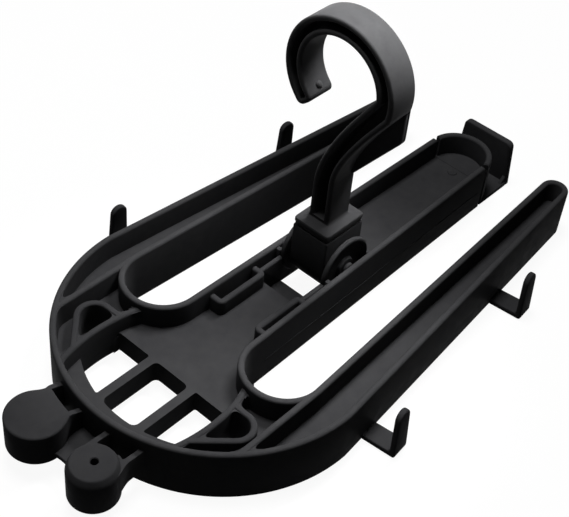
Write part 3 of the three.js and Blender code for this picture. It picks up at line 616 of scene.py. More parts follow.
@dataclass(frozen=True)
class PlasticFinish:
    """Black plastic from a lightly grained mould. Lengths in metres."""

    name: str
    slot: Slot
    deep: Triple = (0.032, 0.032, 0.034)
    light: Triple = (0.046, 0.046, 0.048)
    # The tint and share below paint a highlight near one height, standing in for the light on the rim tops
    highlight_tint: Triple = (0.115, 0.115, 0.118)
    highlight_share: float = 0.14
    smoothest: float = 0.40
    roughest: float = 0.56
    specular: float = 0.002
    grain: float = 2400.0
    patch: float = 20.0
    bump: float = 0.18
    bump_depth: float = 0.0002
    # Top and depth of the height band where the highlight is painted, in metres
    highlight_top: float = 0.0432
    highlight_depth: float = 0.0022

    def made(self, skin: bpy.types.NodeTree, highlight_tree: bpy.types.NodeTree) -> bpy.types.Material:
        """The material.

        Args:
            skin: the shared group for the moulded skin.
            highlight_tree: the shared group for the painted highlight near one height.

        Returns:
            A new material with its own Principled BSDF.
        """
        material, desk = blank_material(self.name)
        place = desk.put("ShaderNodeTexCoord").outputs["Object"]
        grain = desk.put("ShaderNodeGroup", {"node_tree": skin}, Position=place,
                         Grain=self.grain, Patch=self.patch).outputs
        # Mask of the painted highlight, strongest just under the set height
        highlight_mask = desk.put("ShaderNodeGroup", {"node_tree": highlight_tree}, Position=place,
                        Height=self.highlight_top, Depth=self.highlight_depth).outputs["Mask"]
        tone = desk.ranged(grain["Tone"], 0.3, 0.7, 0.0, 1.0)
        colour = desk.mixed_colour(tone, self.deep, self.light)
        # Painted highlight: the colour is lightened towards the tint near the set height
        colour = desk.mixed_colour(desk.sum_of("MULTIPLY", highlight_mask, self.highlight_share), colour, self.highlight_tint)
        rough = desk.ranged(grain["Sheen"], 0.3, 0.7, self.smoothest, self.roughest)
        bump = desk.put("ShaderNodeBump", Strength=self.bump, Distance=self.bump_depth,
                        Height=grain["Height"])
        shader = desk.put("ShaderNodeBsdfPrincipled", Base_Color=colour, Roughness=rough,
                          Normal=bump.outputs[0], Specular_IOR_Level=self.specular)
        desk.put("ShaderNodeOutputMaterial", Surface=shader.outputs[0])
        return material


@dataclass(frozen=True)
class SteelFinish:
    """Bright plated steel with fine turning marks. Lengths in metres."""

    name: str
    slot: Slot
    dull: Triple = (0.42, 0.42, 0.43)
    bright: Triple = (0.62, 0.62, 0.63)
    smoothest: float = 0.22
    roughest: float = 0.4
    grain: float = 1800.0
    patch: float = 60.0
    turning: float = 900.0
    bump: float = 0.12
    bump_depth: float = 0.0001

    def made(self, skin: bpy.types.NodeTree, highlight_tree: bpy.types.NodeTree) -> bpy.types.Material:
        """The material, with the shared skin group as its plating's unevenness."""
        material, desk = blank_material(self.name)
        place = desk.put("ShaderNodeTexCoord").outputs["Object"]
        grain = desk.put("ShaderNodeGroup", {"node_tree": skin}, Position=place,
                         Grain=self.grain, Patch=self.patch).outputs
        turning = desk.put("ShaderNodeTexWave", {"wave_type": "RINGS"}, Vector=place,
                           Scale=self.turning, Distortion=1.0).outputs[1]
        colour = desk.mixed_colour(grain["Tone"], self.dull, self.bright)
        rough = desk.ranged(grain["Sheen"], 0.3, 0.7, self.smoothest, self.roughest)
        bump = desk.put("ShaderNodeBump", Strength=self.bump, Distance=self.bump_depth, Height=turning)
        shader = desk.put("ShaderNodeBsdfPrincipled", Base_Color=colour, Roughness=rough,
                          Normal=bump.outputs[0], Metallic=1.0)
        desk.put("ShaderNodeOutputMaterial", Surface=shader.outputs[0])
        return material


Finish = PlasticFinish | SteelFinish

FRAME_BLACK = PlasticFinish("black_frame_plastic", Slot.FRAME_PLASTIC)
# The hook's painted highlight spans its upper 70 mm and lightens the loop where the beam lights it; its base
# tones are set lighter than the frame's to lift that lit band too
HOOK_BLACK = PlasticFinish("black_hook_plastic", Slot.HOOK_PLASTIC, deep=(0.042, 0.042, 0.044),
                           light=(0.056, 0.056, 0.058), highlight_tint=(0.25, 0.25, 0.254), smoothest=0.36,
                           roughest=0.5, specular=0.012, highlight_top=0.2474, highlight_depth=0.07)
STEEL = SteelFinish("plated_steel", Slot.STEEL)


class PaintShop:
    """Makes each finish once and puts it on pieces."""

    def __init__(self) -> None:
        """Builds the shared groups."""
        self.skin = grain_group()
        self.highlight_tree = rim_highlight_group()
        self.ready: dict[str, bpy.types.Material] = {}

    def dress(self, piece: bpy.types.Object, finish: Finish) -> None:
        """Puts a finish on a piece in place of what it had.

        Args:
            piece: the piece.
            finish: what it is made of.
        """
        if finish.name not in self.ready:
            self.ready[finish.name] = finish.made(self.skin, self.highlight_tree)
        piece.data.materials.clear()
        piece.data.materials.append(self.ready[finish.name])


PAINT = PaintShop()


def placed(bm: Solid, name: str, nodes: Sequence[str], body: Body = Body.FRAME,
           finish: Finish = FRAME_BLACK, crisp: float = 32) -> None:
    """Turns a solid into a finished piece in its place.

    Args:
        bm: the solid in millimetres, measured from the round end's centre.
        name: the piece's name.
        nodes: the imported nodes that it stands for.
        body: the body that it rides on.
        finish: what it is made of.
        crisp: the angle, in degrees, above which an edge shows as a crease.
    """
    shift = Matrix.Translation((0, -HANGER.origin_y * MILLIMETRE, 0)) @ Matrix.Scale(MILLIMETRE, 4)
    bmesh.ops.transform(bm, matrix=shift, verts=bm.verts)
    piece = as_object(bm, name)
    piece.data.shade_smooth()
    piece.data.set_sharp_from_angle(angle=math.radians(crisp))
    PAINT.dress(piece, finish)
    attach(piece, body.value)
    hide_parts(*nodes)
    log.info("%s: %d faces, stands for %s", name, len(piece.data.polygons), ", ".join(nodes))


# The frame


@dataclass
class FrameMoulding:
    """The one-piece frame: walls, decks, ribs, grille and rails. Sizes in millimetres."""

    slot_root_x: float = 87.2
    slot_end_x: float = 69.3
    slot_centre_x: float = 59.8
    slot_radius: float = 27.4
    strip_start_y: float = 2.0
    spine_root_x: float = 32.4
    spine_end_x: float = 27.3
    spine_length: float = 282.0
    rib_z: Pair = (6.0, 38.0)
    rib_radius: float = 125.0
    rib_centre: Pair = (-67.0, -67.0)
    rib_angles: Pair = (18.6, -18.4)
    grille_radius: float = 100.0
    grille_far_y: float = -48.0
    bar_sides: Pair = (16.0, 23.0)
    window_round: float = 4.0
    window_outer_angle: float = -58.3
    window_rib_angle: float = -8.6
    skirt_lip: float = 3.0
    skirt_angles: Pair = (206.0, 334.0)
    skirt_half_x: float = 53.6
    skirt_y: Pair = (-110.0, -44.9)
    strap_hole: Pair = (69.2, -57.8)
    strap_hole_radius: float = 10.0
    strap_root_x: float = 56.0
    strap_wall: float = 4.8
    strap_round: float = 1.7
    strip_outer_x: float = 28.5
    strip_near_y: float = 60.0
    sunk_half_x: float = 20.7
    sunk_z: Pair = (9.0, 13.0)
    step_y: Pair = (60.5, 64.5)
    well_y: Pair = (84.2, 140.0)
    rail_high: float = 37.0
    rail_round: float = 1.9
    rail_root: Pair = (30.0, 17.6)
    rail_bend_x: float = 20.2
    rail_bend_radius: float = 2.5
    rail_bends_y: Pair = (20.1, 58.5)
    rail_end: Pair = (29.0, 61.0)
    foot_rail_wall: float = 4.0
    foot_rail_round: float = 1.6
    foot_rail_start_y: float = 61.5
    pad_x: Pair = (22.3, 28.6)
    pad_places_y: Pair = (84.5, 131.5)
    pad_depth: float = 4.0
    pad_z: Pair = (22.0, 41.0)
    pad_round: float = 0.8
    bead_half: float = 0.35
    bead_z: Pair = (18.2, 19.0)
    bead_round: float = 0.25
    bead_ends_y: Pair = (12.0, 276.0)
    corner_angle: float = 35.0
    corner_height: float = 4.0
    corner_round: float = 2.4
    acute_angle: float = 60.0
    acute_web: float = 8.5
    wide_web: float = 4.6
    web_pull: float = 0.35
    web_sunk: float = 0.6
    web_rise: float = 1.1
    web_far_y: float = -20.0
    web_far_radius: float = 118.0
    axle_reach: float = 28.9
    notch_x: Pair = (19.3, 32.7)
    notch_y: Pair = (278.9, 283.1)
    notch_z: Pair = (38.5, 44.1)

    def spine_x(self, y: float) -> float:
        """The spine's half width at a distance from the round end's centre."""
        return self.spine_root_x + (self.spine_end_x - self.spine_root_x) * y / self.spine_length

    def arm_tip(self, start: float, end: float, steps: int) -> Outline:
        """The right arm's round end, through the middle of its wall.

        Args:
            start: the first angle, in degrees.
            end: the last angle, in degrees.
            steps: how many straight steps it has.

        Returns:
            Points along the arc.
        """
        middle = (self.slot_end_x + HANGER.arm_end_x) / 2
        radius = (HANGER.arm_end_x - self.slot_end_x) / 2 - HALF_WALL
        return arc((middle, HANGER.arm_length), radius, start, end, steps)

    def right_half_path(self) -> Outline:
        """The middle line of the wall from the right spine end to the round end's far point."""
        half, long = HALF_WALL, HANGER.arm_length
        return (straight((self.spine_x(self.spine_length) - half, self.spine_length),
                         (self.spine_x(0) - half, 0), 6)
                + arc((self.slot_centre_x, 0), self.slot_radius + half, 180, 360, 28)
                + straight((self.slot_root_x + half, 0), (self.slot_end_x + half, long), 6)
                + self.arm_tip(180, 0, 16)
                + straight((HANGER.arm_end_x - half, long), (HANGER.radius - half, 0), 6)
                + arc((0, 0), HANGER.radius - half, 0, -90, 34))

    def main_wall(self) -> Solid:
        """The wall that runs from one end of the spine round both arms to the other."""
        right = self.right_half_path()
        return wall(right + flipped(right)[::-1], full_section())

    def arm_strips(self) -> list[Solid]:
        """The arms' slot-side walls, carried on to the round end's outer wall."""
        x = self.slot_root_x + HALF_WALL
        reach = math.sqrt((HANGER.radius - HALF_WALL) ** 2 - x ** 2)
        return twin_walls(straight((x, self.strip_start_y), (x, -reach), 3), full_section())

    def side_ribs(self) -> list[Solid]:
        """The two curved ribs beside the grille."""
        return twin_walls(arc(self.rib_centre, self.rib_radius, *self.rib_angles, 20),
                          wall_section(HANGER.wall, *self.rib_z, HANGER.rim_round))

    def strap_loop(self, radius: float) -> Outline:
        """The D outline round the strap hole on the right side.

        Args:
            radius: the radius of its round side.

        Returns:
            An open path whose two ends lie beyond the rib.
        """
        x, y = self.strap_hole
        diagonal = radius * math.sqrt(0.5)
        fall = x + diagonal - self.strap_root_x
        return ([(self.strap_root_x, y - diagonal - fall)] + arc((x, y), radius, -45, 90, 12)
                + [(self.strap_root_x, y + radius)])

    def strap_loops(self) -> list[Solid]:
        """The walls round the two strap holes."""
        return twin_walls(self.strap_loop(self.strap_hole_radius + self.strap_wall / 2),
                          wall_section(self.strap_wall, *self.rib_z, self.strap_round))

    def middle_window(self) -> Outline:
        """The middle window of the grille, without its corner rounding."""
        inner = self.bar_sides[0]
        low = math.degrees(math.asin(inner / self.grille_radius))
        return ([(inner, self.grille_far_y), (-inner, self.grille_far_y)]
                + arc((0, 0), self.grille_radius, -90 - low, -90 + low, 8))

    def right_window(self) -> Outline:
        """The right window of the grille, without its corner rounding."""
        outer = self.bar_sides[1]
        rib = self.rib_radius - HALF_WALL
        start = -math.degrees(math.acos(outer / self.grille_radius))
        top = math.degrees(math.asin((self.grille_far_y - self.rib_centre[1]) / rib))
        return ([(outer, self.grille_far_y)]
                + arc((0, 0), self.grille_radius, start, self.window_outer_angle, 8)
                + arc(self.rib_centre, rib, self.window_rib_angle, top, 8))

    def holes(self) -> list[Solid]:
        """What is cut out of the round end's deck: slots, windows and strap holes."""
        low, high = HANGER.cut
        tools = [bar(self.slot_radius + HALF_WALL, low, high, (side * self.slot_centre_x, 0, 0), steps=56)
                 for side in SIDES]
        right = self.right_window()
        tools += [softened(prism(outline, Axis.Z, low, high), self.window_round, 4, 40, upright)
                  for outline in (self.middle_window(), flipped(right), right)]
        return tools + twin_prisms(self.strap_loop(self.strap_hole_radius + OVERLAP), low, high)

    def decks(self) -> list[Solid]:
        """The level decks between the walls."""
        low, high = HANGER.deck
        bowl = prism(arc((0, 0), HANGER.radius - HALF_WALL, 180, 360, 64), Axis.Z, low, high)
        skirt = prism(arc((0, 0), self.grille_radius + self.skirt_lip, *self.skirt_angles, 36),
                      Axis.Z, self.rib_z[0], high)
        kept = box(-self.skirt_half_x, self.skirt_half_x, *self.skirt_y, 0, HANGER.cut[1])
        bowl = combined(bowl, [combined(skirt, [kept], Join.KEEP_COMMON)], Join.ADD)
        arm = ([(HANGER.radius - HALF_WALL, -OVERLAP)] + self.arm_tip(0, 180, 12)
               + [(self.slot_root_x + HALF_WALL, -OVERLAP)])
        holes = self.holes()
        arms = twin_prisms(arm, low, high)
        return [combined(bowl, holes, Join.CUT), *arms, *self.spine_decks()]

    def spine_decks(self) -> list[Solid]:
        """The spine's deck in two lengths, the strips beside the foot and the sunk floor."""
        low, high = HANGER.deck
        half, outer = self.sunk_half_x, self.strip_outer_x
        (well, well_end), (step, step_end) = self.well_y, self.step_y

        def stretch(y0: float, y1: float) -> Solid:
            """The deck across the spine between two distances."""
            right = [(self.spine_x(y) - HALF_WALL, y) for y in (y0, y1)]
            return prism(right + flipped(right)[::-1], Axis.Z, low, high)

        return [stretch(-OVERLAP, step_end), stretch(well_end, self.spine_length - HAIR),
                *(box(*span(side, half, outer), self.strip_near_y, well, low, high) for side in SIDES),
                box(-half, half, step, well, *self.sunk_z),
                box(-half, half, step, step_end, self.sunk_z[0], high - HAIR)]

    def rails(self) -> list[Solid]:
        """The rails beside the hook's stem and foot, and the pads beside the cheeks."""
        near, far = self.rail_bends_y
        stem = ([self.rail_root] + arc((self.rail_bend_x, near), self.rail_bend_radius, 270, 180, 5)
                + arc((self.rail_bend_x, far), self.rail_bend_radius, 180, 90, 5) + [self.rail_end])
        foot = [(self.sunk_half_x, y) for y in (self.foot_rail_start_y, self.well_y[0])]
        stem_section = wall_section(HANGER.wall, HANGER.deck[0], self.rail_high, self.rail_round)
        foot_section = wall_section(self.foot_rail_wall, self.sunk_z[0], self.rail_high, self.foot_rail_round)
        pieces = []
        for side in SIDES:
            for path, section in ((stem, stem_section), (foot, foot_section)):
                pieces.append(wall(path if side > 0 else flipped(path), section))
            for y in self.pad_places_y:
                pad = box(*span(side, *self.pad_x), y, y + self.pad_depth, *self.pad_z)
                pieces.append(softened(pad, self.pad_round, 2))
        return pieces

    def beads(self) -> list[Solid]:
        """The fine bead along the outside of each of the spine's walls."""
        start, end = ((self.spine_x(y), y) for y in self.bead_ends_y)
        bead = rounded_box(-self.bead_half, self.bead_half, *self.bead_z, self.bead_round, self.bead_round)
        return twin_walls(straight(start, end, 3), bead)

    def is_corner(self, edge: Edge) -> bool:
        """Whether an edge stands upright in a hollow corner.

        Args:
            edge: the edge.

        Returns:
            True where it does.
        """
        aside = (edge.verts[0].co - edge.verts[1].co).xy.length
        return (drop(edge) > self.corner_height and aside < SAME_POINT
                and edge.calc_face_angle_signed(0) < -math.radians(self.corner_angle))

    def corner_web(self, edge: Edge) -> Solid:
        """The web that fills one hollow corner nearly up to the rims.

        Args:
            edge: the corner's upright edge.

        Returns:
            A closed solid with a hollow front.
        """
        low, high = sorted(v.co.z for v in edge.verts)
        corner = edge.verts[0].co.xy
        first, second = ((face.calc_center_median().xy - corner).normalized() for face in edge.link_faces)
        size = self.acute_web if first.angle(second) < math.radians(self.acute_angle) else self.wide_web
        inward = -self.web_sunk * (first + second).normalized()
        start, end = corner + size * first, corner + size * second
        pull = self.web_pull * size
        front = interpolate_bezier(start, corner + pull * first, corner + pull * second, end, 7)
        points = [corner + 2 * inward, start + inward, *front, end + inward]
        if first.cross(second) < 0:
            points.reverse()
        return prism([(p.x, p.y) for p in points], Axis.Z, low, high + self.web_rise)

    def filleted(self, bm: Solid) -> Solid:
        """Fills the round end's corners with webs and rounds the others a little.

        Args:
            bm: the frame, which is used up.

        Returns:
            The frame with its webs and fillets.
        """
        webs = [self.corner_web(e) for e in bm.edges
                if e.verts[0].co.y < self.web_far_y
                and e.verts[0].co.xy.length < self.web_far_radius and self.is_corner(e)]
        return softened(combined(bm, webs, Join.ADD), self.corner_round, 4, self.corner_angle,
                        lambda e: e.verts[0].co.y > self.web_far_y and self.is_corner(e))

    def build(self) -> None:
        """Puts the frame together and dresses it."""
        parts = [*self.arm_strips(), *self.side_ribs(), *self.strap_loops(), *self.decks(),
                 *self.rails(), *self.beads()]
        body = self.filleted(combined(self.main_wall(), parts, Join.ADD))
        (near, far), (low, high) = self.notch_y, self.notch_z
        notch = [(near, high), (far, high), (far, low)]
        notches = [prism(notch, Axis.X, *span(side, *self.notch_x)) for side in SIDES]
        placed(combined(body, [axle_bar(self.axle_reach), *notches], Join.CUT), "moulded_frame",
               ["frame_round_end", "frame_right_arm", "frame_left_arm", "frame_spine"])


# The end stop


@dataclass
class EndStop:
    """The cup, base and upright tab that close the spine's trough. Sizes in millimetres."""

    cup_centre: Pair = (0.0, 281.0)
    cup_radius: float = 27.3
    cup_start_y: float = 285.0
    floor_half_x: float = 22.0
    floor_near_y: float = 282.3
    base_half_width: float = 27.0
    base_height: float = 4.0
    base_round: float = 0.9
    tab_y: Pair = (321.5, 327.5)
    tab_foot: float = 27.2
    tab_head: float = 24.2
    tab_corner: float = 5.0
    tab_round: float = 1.5
    gusset_reach: float = 6.0
    gusset_z: Pair = (3.0, 11.0)
    gusset_setbacks: Pair = (4.2, 1.2)
    gusset_round: float = 0.7
    tongue_half_x: float = 12.0
    tongue_y: Pair = (266.0, 290.0)
    tongue_z: Pair = (16.0, 19.7)
    tongue_root_z: Pair = (16.5, 21.0)
    tongue_round: float = 0.6
    notch_half_x: float = 32.0
    notch_y: Pair = (284.0, 286.6)
    notch_z: Pair = (40.4, 44.0)
    rivet_y: float = 276.0
    rivet_bore: Triple = (2.8, 14.0, 22.0)
    rivet_shank: float = 2.5
    rivet_head: float = 4.0
    rivet_head_z: float = 24.0

    def cup(self) -> list[Solid]:
        """The round wall and the deck inside it."""
        middle = self.cup_radius - HALF_WALL
        start = math.degrees(math.asin((self.cup_start_y - self.cup_centre[1]) / middle))
        rim = wall(arc(self.cup_centre, middle, start, 180 - start, 36), full_section())
        floor = prism([(-self.floor_half_x, self.floor_near_y), (self.floor_half_x, self.floor_near_y)]
                      + arc(self.cup_centre, middle, start, 180 - start, 24),
                      Axis.Z, *HANGER.deck)
        return [rim, floor]

    def tab(self) -> Solid:
        """The upright tab with rounded shoulders."""
        top = HANGER.height - self.tab_corner
        inner = self.tab_head - self.tab_corner
        outline = ([(-self.tab_foot, 0), (self.tab_foot, 0)]
                   + arc((inner, top), self.tab_corner, 0, 90, 6)
                   + arc((-inner, top), self.tab_corner, 90, 180, 6))
        return softened(prism(outline, Axis.Y, *self.tab_y), self.tab_round, 4)

    def base(self) -> list[Solid]:
        """The base plate, its two gussets against the tab and the tongue under the deck."""
        half, wide, tab = self.base_half_width, self.tongue_half_x, self.tab_y[0]
        root, (low, high) = tab + 1, self.gusset_z
        pieces = [softened(box(-half, half, self.cup_start_y, root, 0, self.base_height), self.base_round, 3)]
        outline = [(tab - self.gusset_reach, low), (root, low), (root, high)]
        for side in SIDES:
            gusset = prism(outline, Axis.X, *span(side, *(half - inset for inset in self.gusset_setbacks)))
            pieces.append(softened(gusset, self.gusset_round, 2))
        tongue = softened(box(-wide, wide, *self.tongue_y, *self.tongue_z), self.tongue_round, 2)
        tongue_root = box(-wide, wide, self.floor_near_y, self.tongue_y[1], *self.tongue_root_z)
        return [*pieces, tongue, tongue_root]

    def rivet(self) -> Solid:
        """The snap rivet: a barbed point, a shank and a low domed head with a dimple."""
        shank, head, top = self.rivet_shank, self.rivet_head, self.rivet_head_z
        dome = [(head - 0.5 * math.sin(a), top + 0.2 + 0.6 * math.sin(a)) for a in (0.4, 0.9, 1.4)]
        point = [(0, 13.5), (1.9, 13.5), (shank, 14.2), (head, 15.6), (shank, 15.7)]
        dimple = [(1.1, top + 0.8), (0.7, top + 0.5), (0, top + 0.5)]
        pairs = [*point, (shank, top), (head, top), *dome, *dimple]
        return turned(pairs, (0, self.rivet_y, 0), Axis.Z, 32)

    def build(self) -> None:
        """Puts the end stop and its rivet together and dresses them."""
        rim, floor = self.cup()
        body = combined(rim, [floor, self.tab(), *self.base()], Join.ADD)
        bore = bar(*self.rivet_bore, (0, self.rivet_y, 0), steps=24)
        (near, far), (low, high) = self.notch_y, self.notch_z
        notch = prism([(near, high), (far, high), (near, low)], Axis.X, -self.notch_half_x, self.notch_half_x)
        placed(combined(body, [bore, notch], Join.CUT), "moulded_end_stop", ["end_stop"])
        placed(self.rivet(), "snap_rivet", ["end_stop_rivet"])


# Glove pegs

PEG_PLACES = {"near": 28.0, "far": 202.9}


@dataclass
class GlovePeg:
    """An upright peg on a short arm beside the frame. Sizes in millimetres."""

    place: str
    side: int
    y: float
    reach: float = 27.0
    height: float = 41.3
    width: float = 16.4
    tip_width: float = 13.6
    thickness: float = 4.6
    lean: float = 1.7
    root_sunk: float = 0.8
    heel_radius: float = 2.0
    inner_radius: float = 2.6
    edge_round: float = 1.3

    def profile(self) -> Outline:
        """The peg from the side."""
        thick, tip, inner = self.thickness, self.reach - self.lean, self.inner_radius
        return ([(-self.root_sunk, 0)]
                + arc((self.reach - self.heel_radius, self.heel_radius), self.heel_radius, 270, 362, 4)
                + [(tip, self.height), (tip - thick, self.height)]
                + arc((self.reach - thick - inner, thick + inner), inner, 2, -90, 4)
                + [(-self.root_sunk, thick)])

    def front(self) -> Outline:
        """The peg from the front."""
        half, tip = self.width / 2, self.tip_width / 2
        return ([(-half, -MARGIN), (half, -MARGIN), (half, self.thickness)]
                + arc((0, self.height - tip), tip, 4, 176, 16) + [(-half, self.thickness)])

    def build(self) -> None:
        """Shapes the peg, turns it square to the arm's wall and dresses it."""
        half = self.width / 2 + MARGIN
        bm = combined(prism(self.profile(), Axis.Y, -half, half),
                      [prism(self.front(), Axis.X, -2 * MARGIN, self.reach + 2 * MARGIN)], Join.KEEP_COMMON)
        bmesh.ops.dissolve_limit(bm, angle_limit=math.radians(1), verts=bm.verts, edges=bm.edges)
        softened(bm, self.edge_round, 4, 35, held=False)
        slope = math.atan2(HANGER.radius - HANGER.arm_end_x, HANGER.arm_length)
        x = HANGER.radius + (HANGER.arm_end_x - HANGER.radius) * self.y / HANGER.arm_length
        turn = Matrix.Translation((x, self.y, 0)) @ Matrix.Rotation(slope, 4, "Z")
        bmesh.ops.transform(bm, matrix=turn, verts=bm.verts)
        if self.side < 0:
            mirror(bm)
        name = f"{self.place}_{SIDES[self.side]}"
        placed(bm, f"moulded_peg_{name}", [f"glove_peg_{name}"])


# Bosses


@dataclass
class Bosses:
    """The two round bosses at the round end, their prongs and the web. Sizes in millimetres."""

    x: float = 28.0
    y: float = -145.0
    neck_radius: float = 128.6
    neck_pull_y: float = -127.5
    throat_pull_y: float = -132.0
    prong_inner_x: float = 13.0
    prong_outer_x: float = 38.9
    prong_half: float = 1.9
    prong_sunk: float = 1.0
    prong_root: float = 2.5
    prong_wall_z: float = 33.0
    prong_round: float = 1.1
    flare: float = 1.8
    plain_radius: float = 21.3
    plain_z: Pair = (12.0, 37.7)
    plain_round: float = 1.6
    holed_radius: float = 18.0
    holed_low: float = 8.0
    holed_high: float = 39.0
    holed_top_radius: float = 14.9
    inner_root_y: float = -129.0
    outer_root_y: float = -125.5
    rib_z: Pair = (14.0, 34.3)
    rib_bend_y: float = -130.0
    hole_radius: float = 2.7
    hole_setback: float = 1.2
    hole_chamfer: float = 0.6
    web_y: Pair = (-151.0, -145.5)
    web_z: Pair = (14.0, 18.0)
    web_round: float = 0.9

    def wall_y(self, x: float) -> float:
        """Where a prong ends, a little inside the frame's outer wall."""
        return -math.sqrt((HANGER.radius - self.prong_sunk) ** 2 - x ** 2)

    def neck_y(self, x: float) -> float:
        """Where the plain boss's neck ends, short of the frame's outer wall."""
        return -math.sqrt(self.neck_radius ** 2 - x ** 2)

    def prong_side(self, x: float, way: int, start_y: float) -> Outline:
        """One side of a prong, from its root to its flare at the frame's wall.

        Args:
            x: where the side stands.
            way: 1 for a flare towards +X, -1 for one towards -X.
            start_y: where the straight stretch begins.

        Returns:
            Points from the root to the wall.
        """
        end, near = x + way * self.flare, self.wall_y(x)
        return [(x, start_y)] + soft_curve((x, near - self.flare - 1), (x, near - 1),
                                           (x + way * 0.5, self.wall_y(end) - 0.3),
                                           (end, self.wall_y(end)), 3)

    def sloped(self, plan: Outline, bend_y: float, low: float, high: float) -> Solid:
        """A bar of a given plan whose top falls towards the frame's wall.

        Args:
            plan: its outline from above.
            bend_y: where its level top begins to fall.
            low: its underside.
            high: its level top.

        Returns:
            A closed solid with rounded top edges.
        """
        across, along = zip(*plan)
        near, far, end_z = min(along) - MARGIN, max(along), self.prong_wall_z
        side = [(near, low), (far + MARGIN, low), (far + MARGIN, end_z), (far, end_z), (bend_y, high),
                (near, high)]
        block = prism(side, Axis.X, min(across) - MARGIN, max(across) + MARGIN)
        whole = combined(prism(plan, Axis.Z, low - MARGIN, high + MARGIN), [block], Join.KEEP_COMMON)
        return softened(whole, self.prong_round, 3, 50,
                        lambda e: min(v.co.z for v in e.verts) > low + 5 and drop(e) < 3)

    def prong(self, x: float) -> Solid:
        """One prong of the plain boss.

        Args:
            x: its middle line.

        Returns:
            A closed solid.
        """
        root, half = self.neck_y(x) - self.prong_root, self.prong_half
        plan = self.prong_side(x - half, -1, root) + self.prong_side(x + half, 1, root)[::-1]
        return self.sloped(plan, self.neck_y(x) - 0.2, self.plain_z[0], self.plain_z[1] - 0.02)

    def plain(self) -> Solid:
        """The plain boss: a disc that runs into a neck with two prongs."""
        left, right = -self.prong_outer_x - self.prong_half, -self.prong_inner_x + self.prong_half
        disc = arc((-self.x, self.y), self.plain_radius, 24, -212, 60)
        outer = soft_curve(disc[-1], beside(disc[-1], 2.4, 3.8), (left, self.neck_pull_y),
                           (left, self.neck_y(left)))
        start, end = (math.degrees(math.atan2(self.neck_y(x), x)) for x in (left, right))
        neck = arc((0, 0), self.neck_radius, start, end, 10)
        inner = soft_curve((right, self.neck_y(right)), (right, self.throat_pull_y),
                           beside(disc[0], -1.2, 3.2), disc[0])
        bm = prism(disc + outer[1:] + neck[1:] + inner[1:-1], Axis.Z, *self.plain_z)
        softened(bm, self.plain_round, 4, 60,
                 lambda e: all(v.co.z > self.plain_z[1] - HAIR for v in e.verts), held=False)
        return combined(bm, [self.prong(-x) for x in (self.prong_outer_x, self.prong_inner_x)], Join.ADD)

    def rib(self, x: float, root: float, left: Pair, right: Pair) -> Solid:
        """One of the holed boss's ribs, wide at the boss and flared at the wall.

        Args:
            x: the rib's middle line.
            root: the distance at which the widening at the boss ends.
            left: where its left side leaves the boss.
            right: where its right side leaves the boss.

        Returns:
            A closed solid.
        """
        low, high = x - self.prong_half, x + self.prong_half
        plan = (soft_curve(left, beside(left, 0.2, 4.5), (low, root - 5), (low, root))
                + self.prong_side(low, -1, root + 0.3) + self.prong_side(high, 1, root + 0.3)[::-1]
                + soft_curve((high, root), (high, root - 4), beside(right, -0.2, 3), right)
                + [(self.x, self.y)])
        return self.sloped(plan, self.rib_bend_y, *self.rib_z)

    def holed(self) -> Solid:
        """The boss with a small hole, its flat top drawn in by a steep chamfer."""
        top, rim = self.holed_high, self.holed_top_radius
        foot = arc((self.holed_radius - 1, self.holed_low + 1), 1.0, 270, 360, 3)
        shoulder = soft_curve((18.0, 31.8), (17.9, 34.4), (17.0, 35.8), (15.8, 38.1))
        pairs = ([(0, self.holed_low)] + foot + shoulder
                 + [(15.4, 38.65), (rim, 38.95), (rim - 0.7, top), (0, top)])
        drum = turned(pairs, (self.x, self.y, 0), Axis.Z, 64)
        inner = self.rib(self.prong_inner_x, self.inner_root_y, (self.x - 17.4, -141.0),
                         (self.x - 7.0, -129.2))
        outer = self.rib(self.prong_outer_x, self.outer_root_y, (self.x + 3.5, -128.2),
                         (self.x + 16.9, -139.5))
        body = combined(drum, [inner, outer], Join.ADD)
        hole, mouth, (low, high) = self.hole_radius, self.hole_radius + self.hole_chamfer, HANGER.cut
        cutter = [(0, low), (hole, low), (hole, top - 0.7), (mouth, top + 0.1), (mouth, high), (0, high)]
        bore = turned(cutter, (self.x, self.y + self.hole_setback, 0), Axis.Z, 32)
        return combined(body, [bore], Join.CUT)

    def web(self) -> Solid:
        """The low web between the bosses, with a hollow front edge."""
        half, (near, middle) = self.prong_inner_x + 0.6, self.web_y
        front = soft_curve((-half, near), (-half + 5, middle), (half - 5, middle), (half, near), 13)
        outline = front + [(half, self.wall_y(half)), (-half, self.wall_y(half))]
        return softened(prism(outline, Axis.Z, *self.web_z), self.web_round, 3)

    def build(self) -> None:
        """Shapes and dresses the bosses and the web."""
        placed(self.plain(), "moulded_plain_boss", ["plain_boss"])
        placed(self.holed(), "moulded_holed_boss", ["holed_boss"])
        placed(self.web(), "moulded_boss_web", ["boss_web"])


# The fold pivot


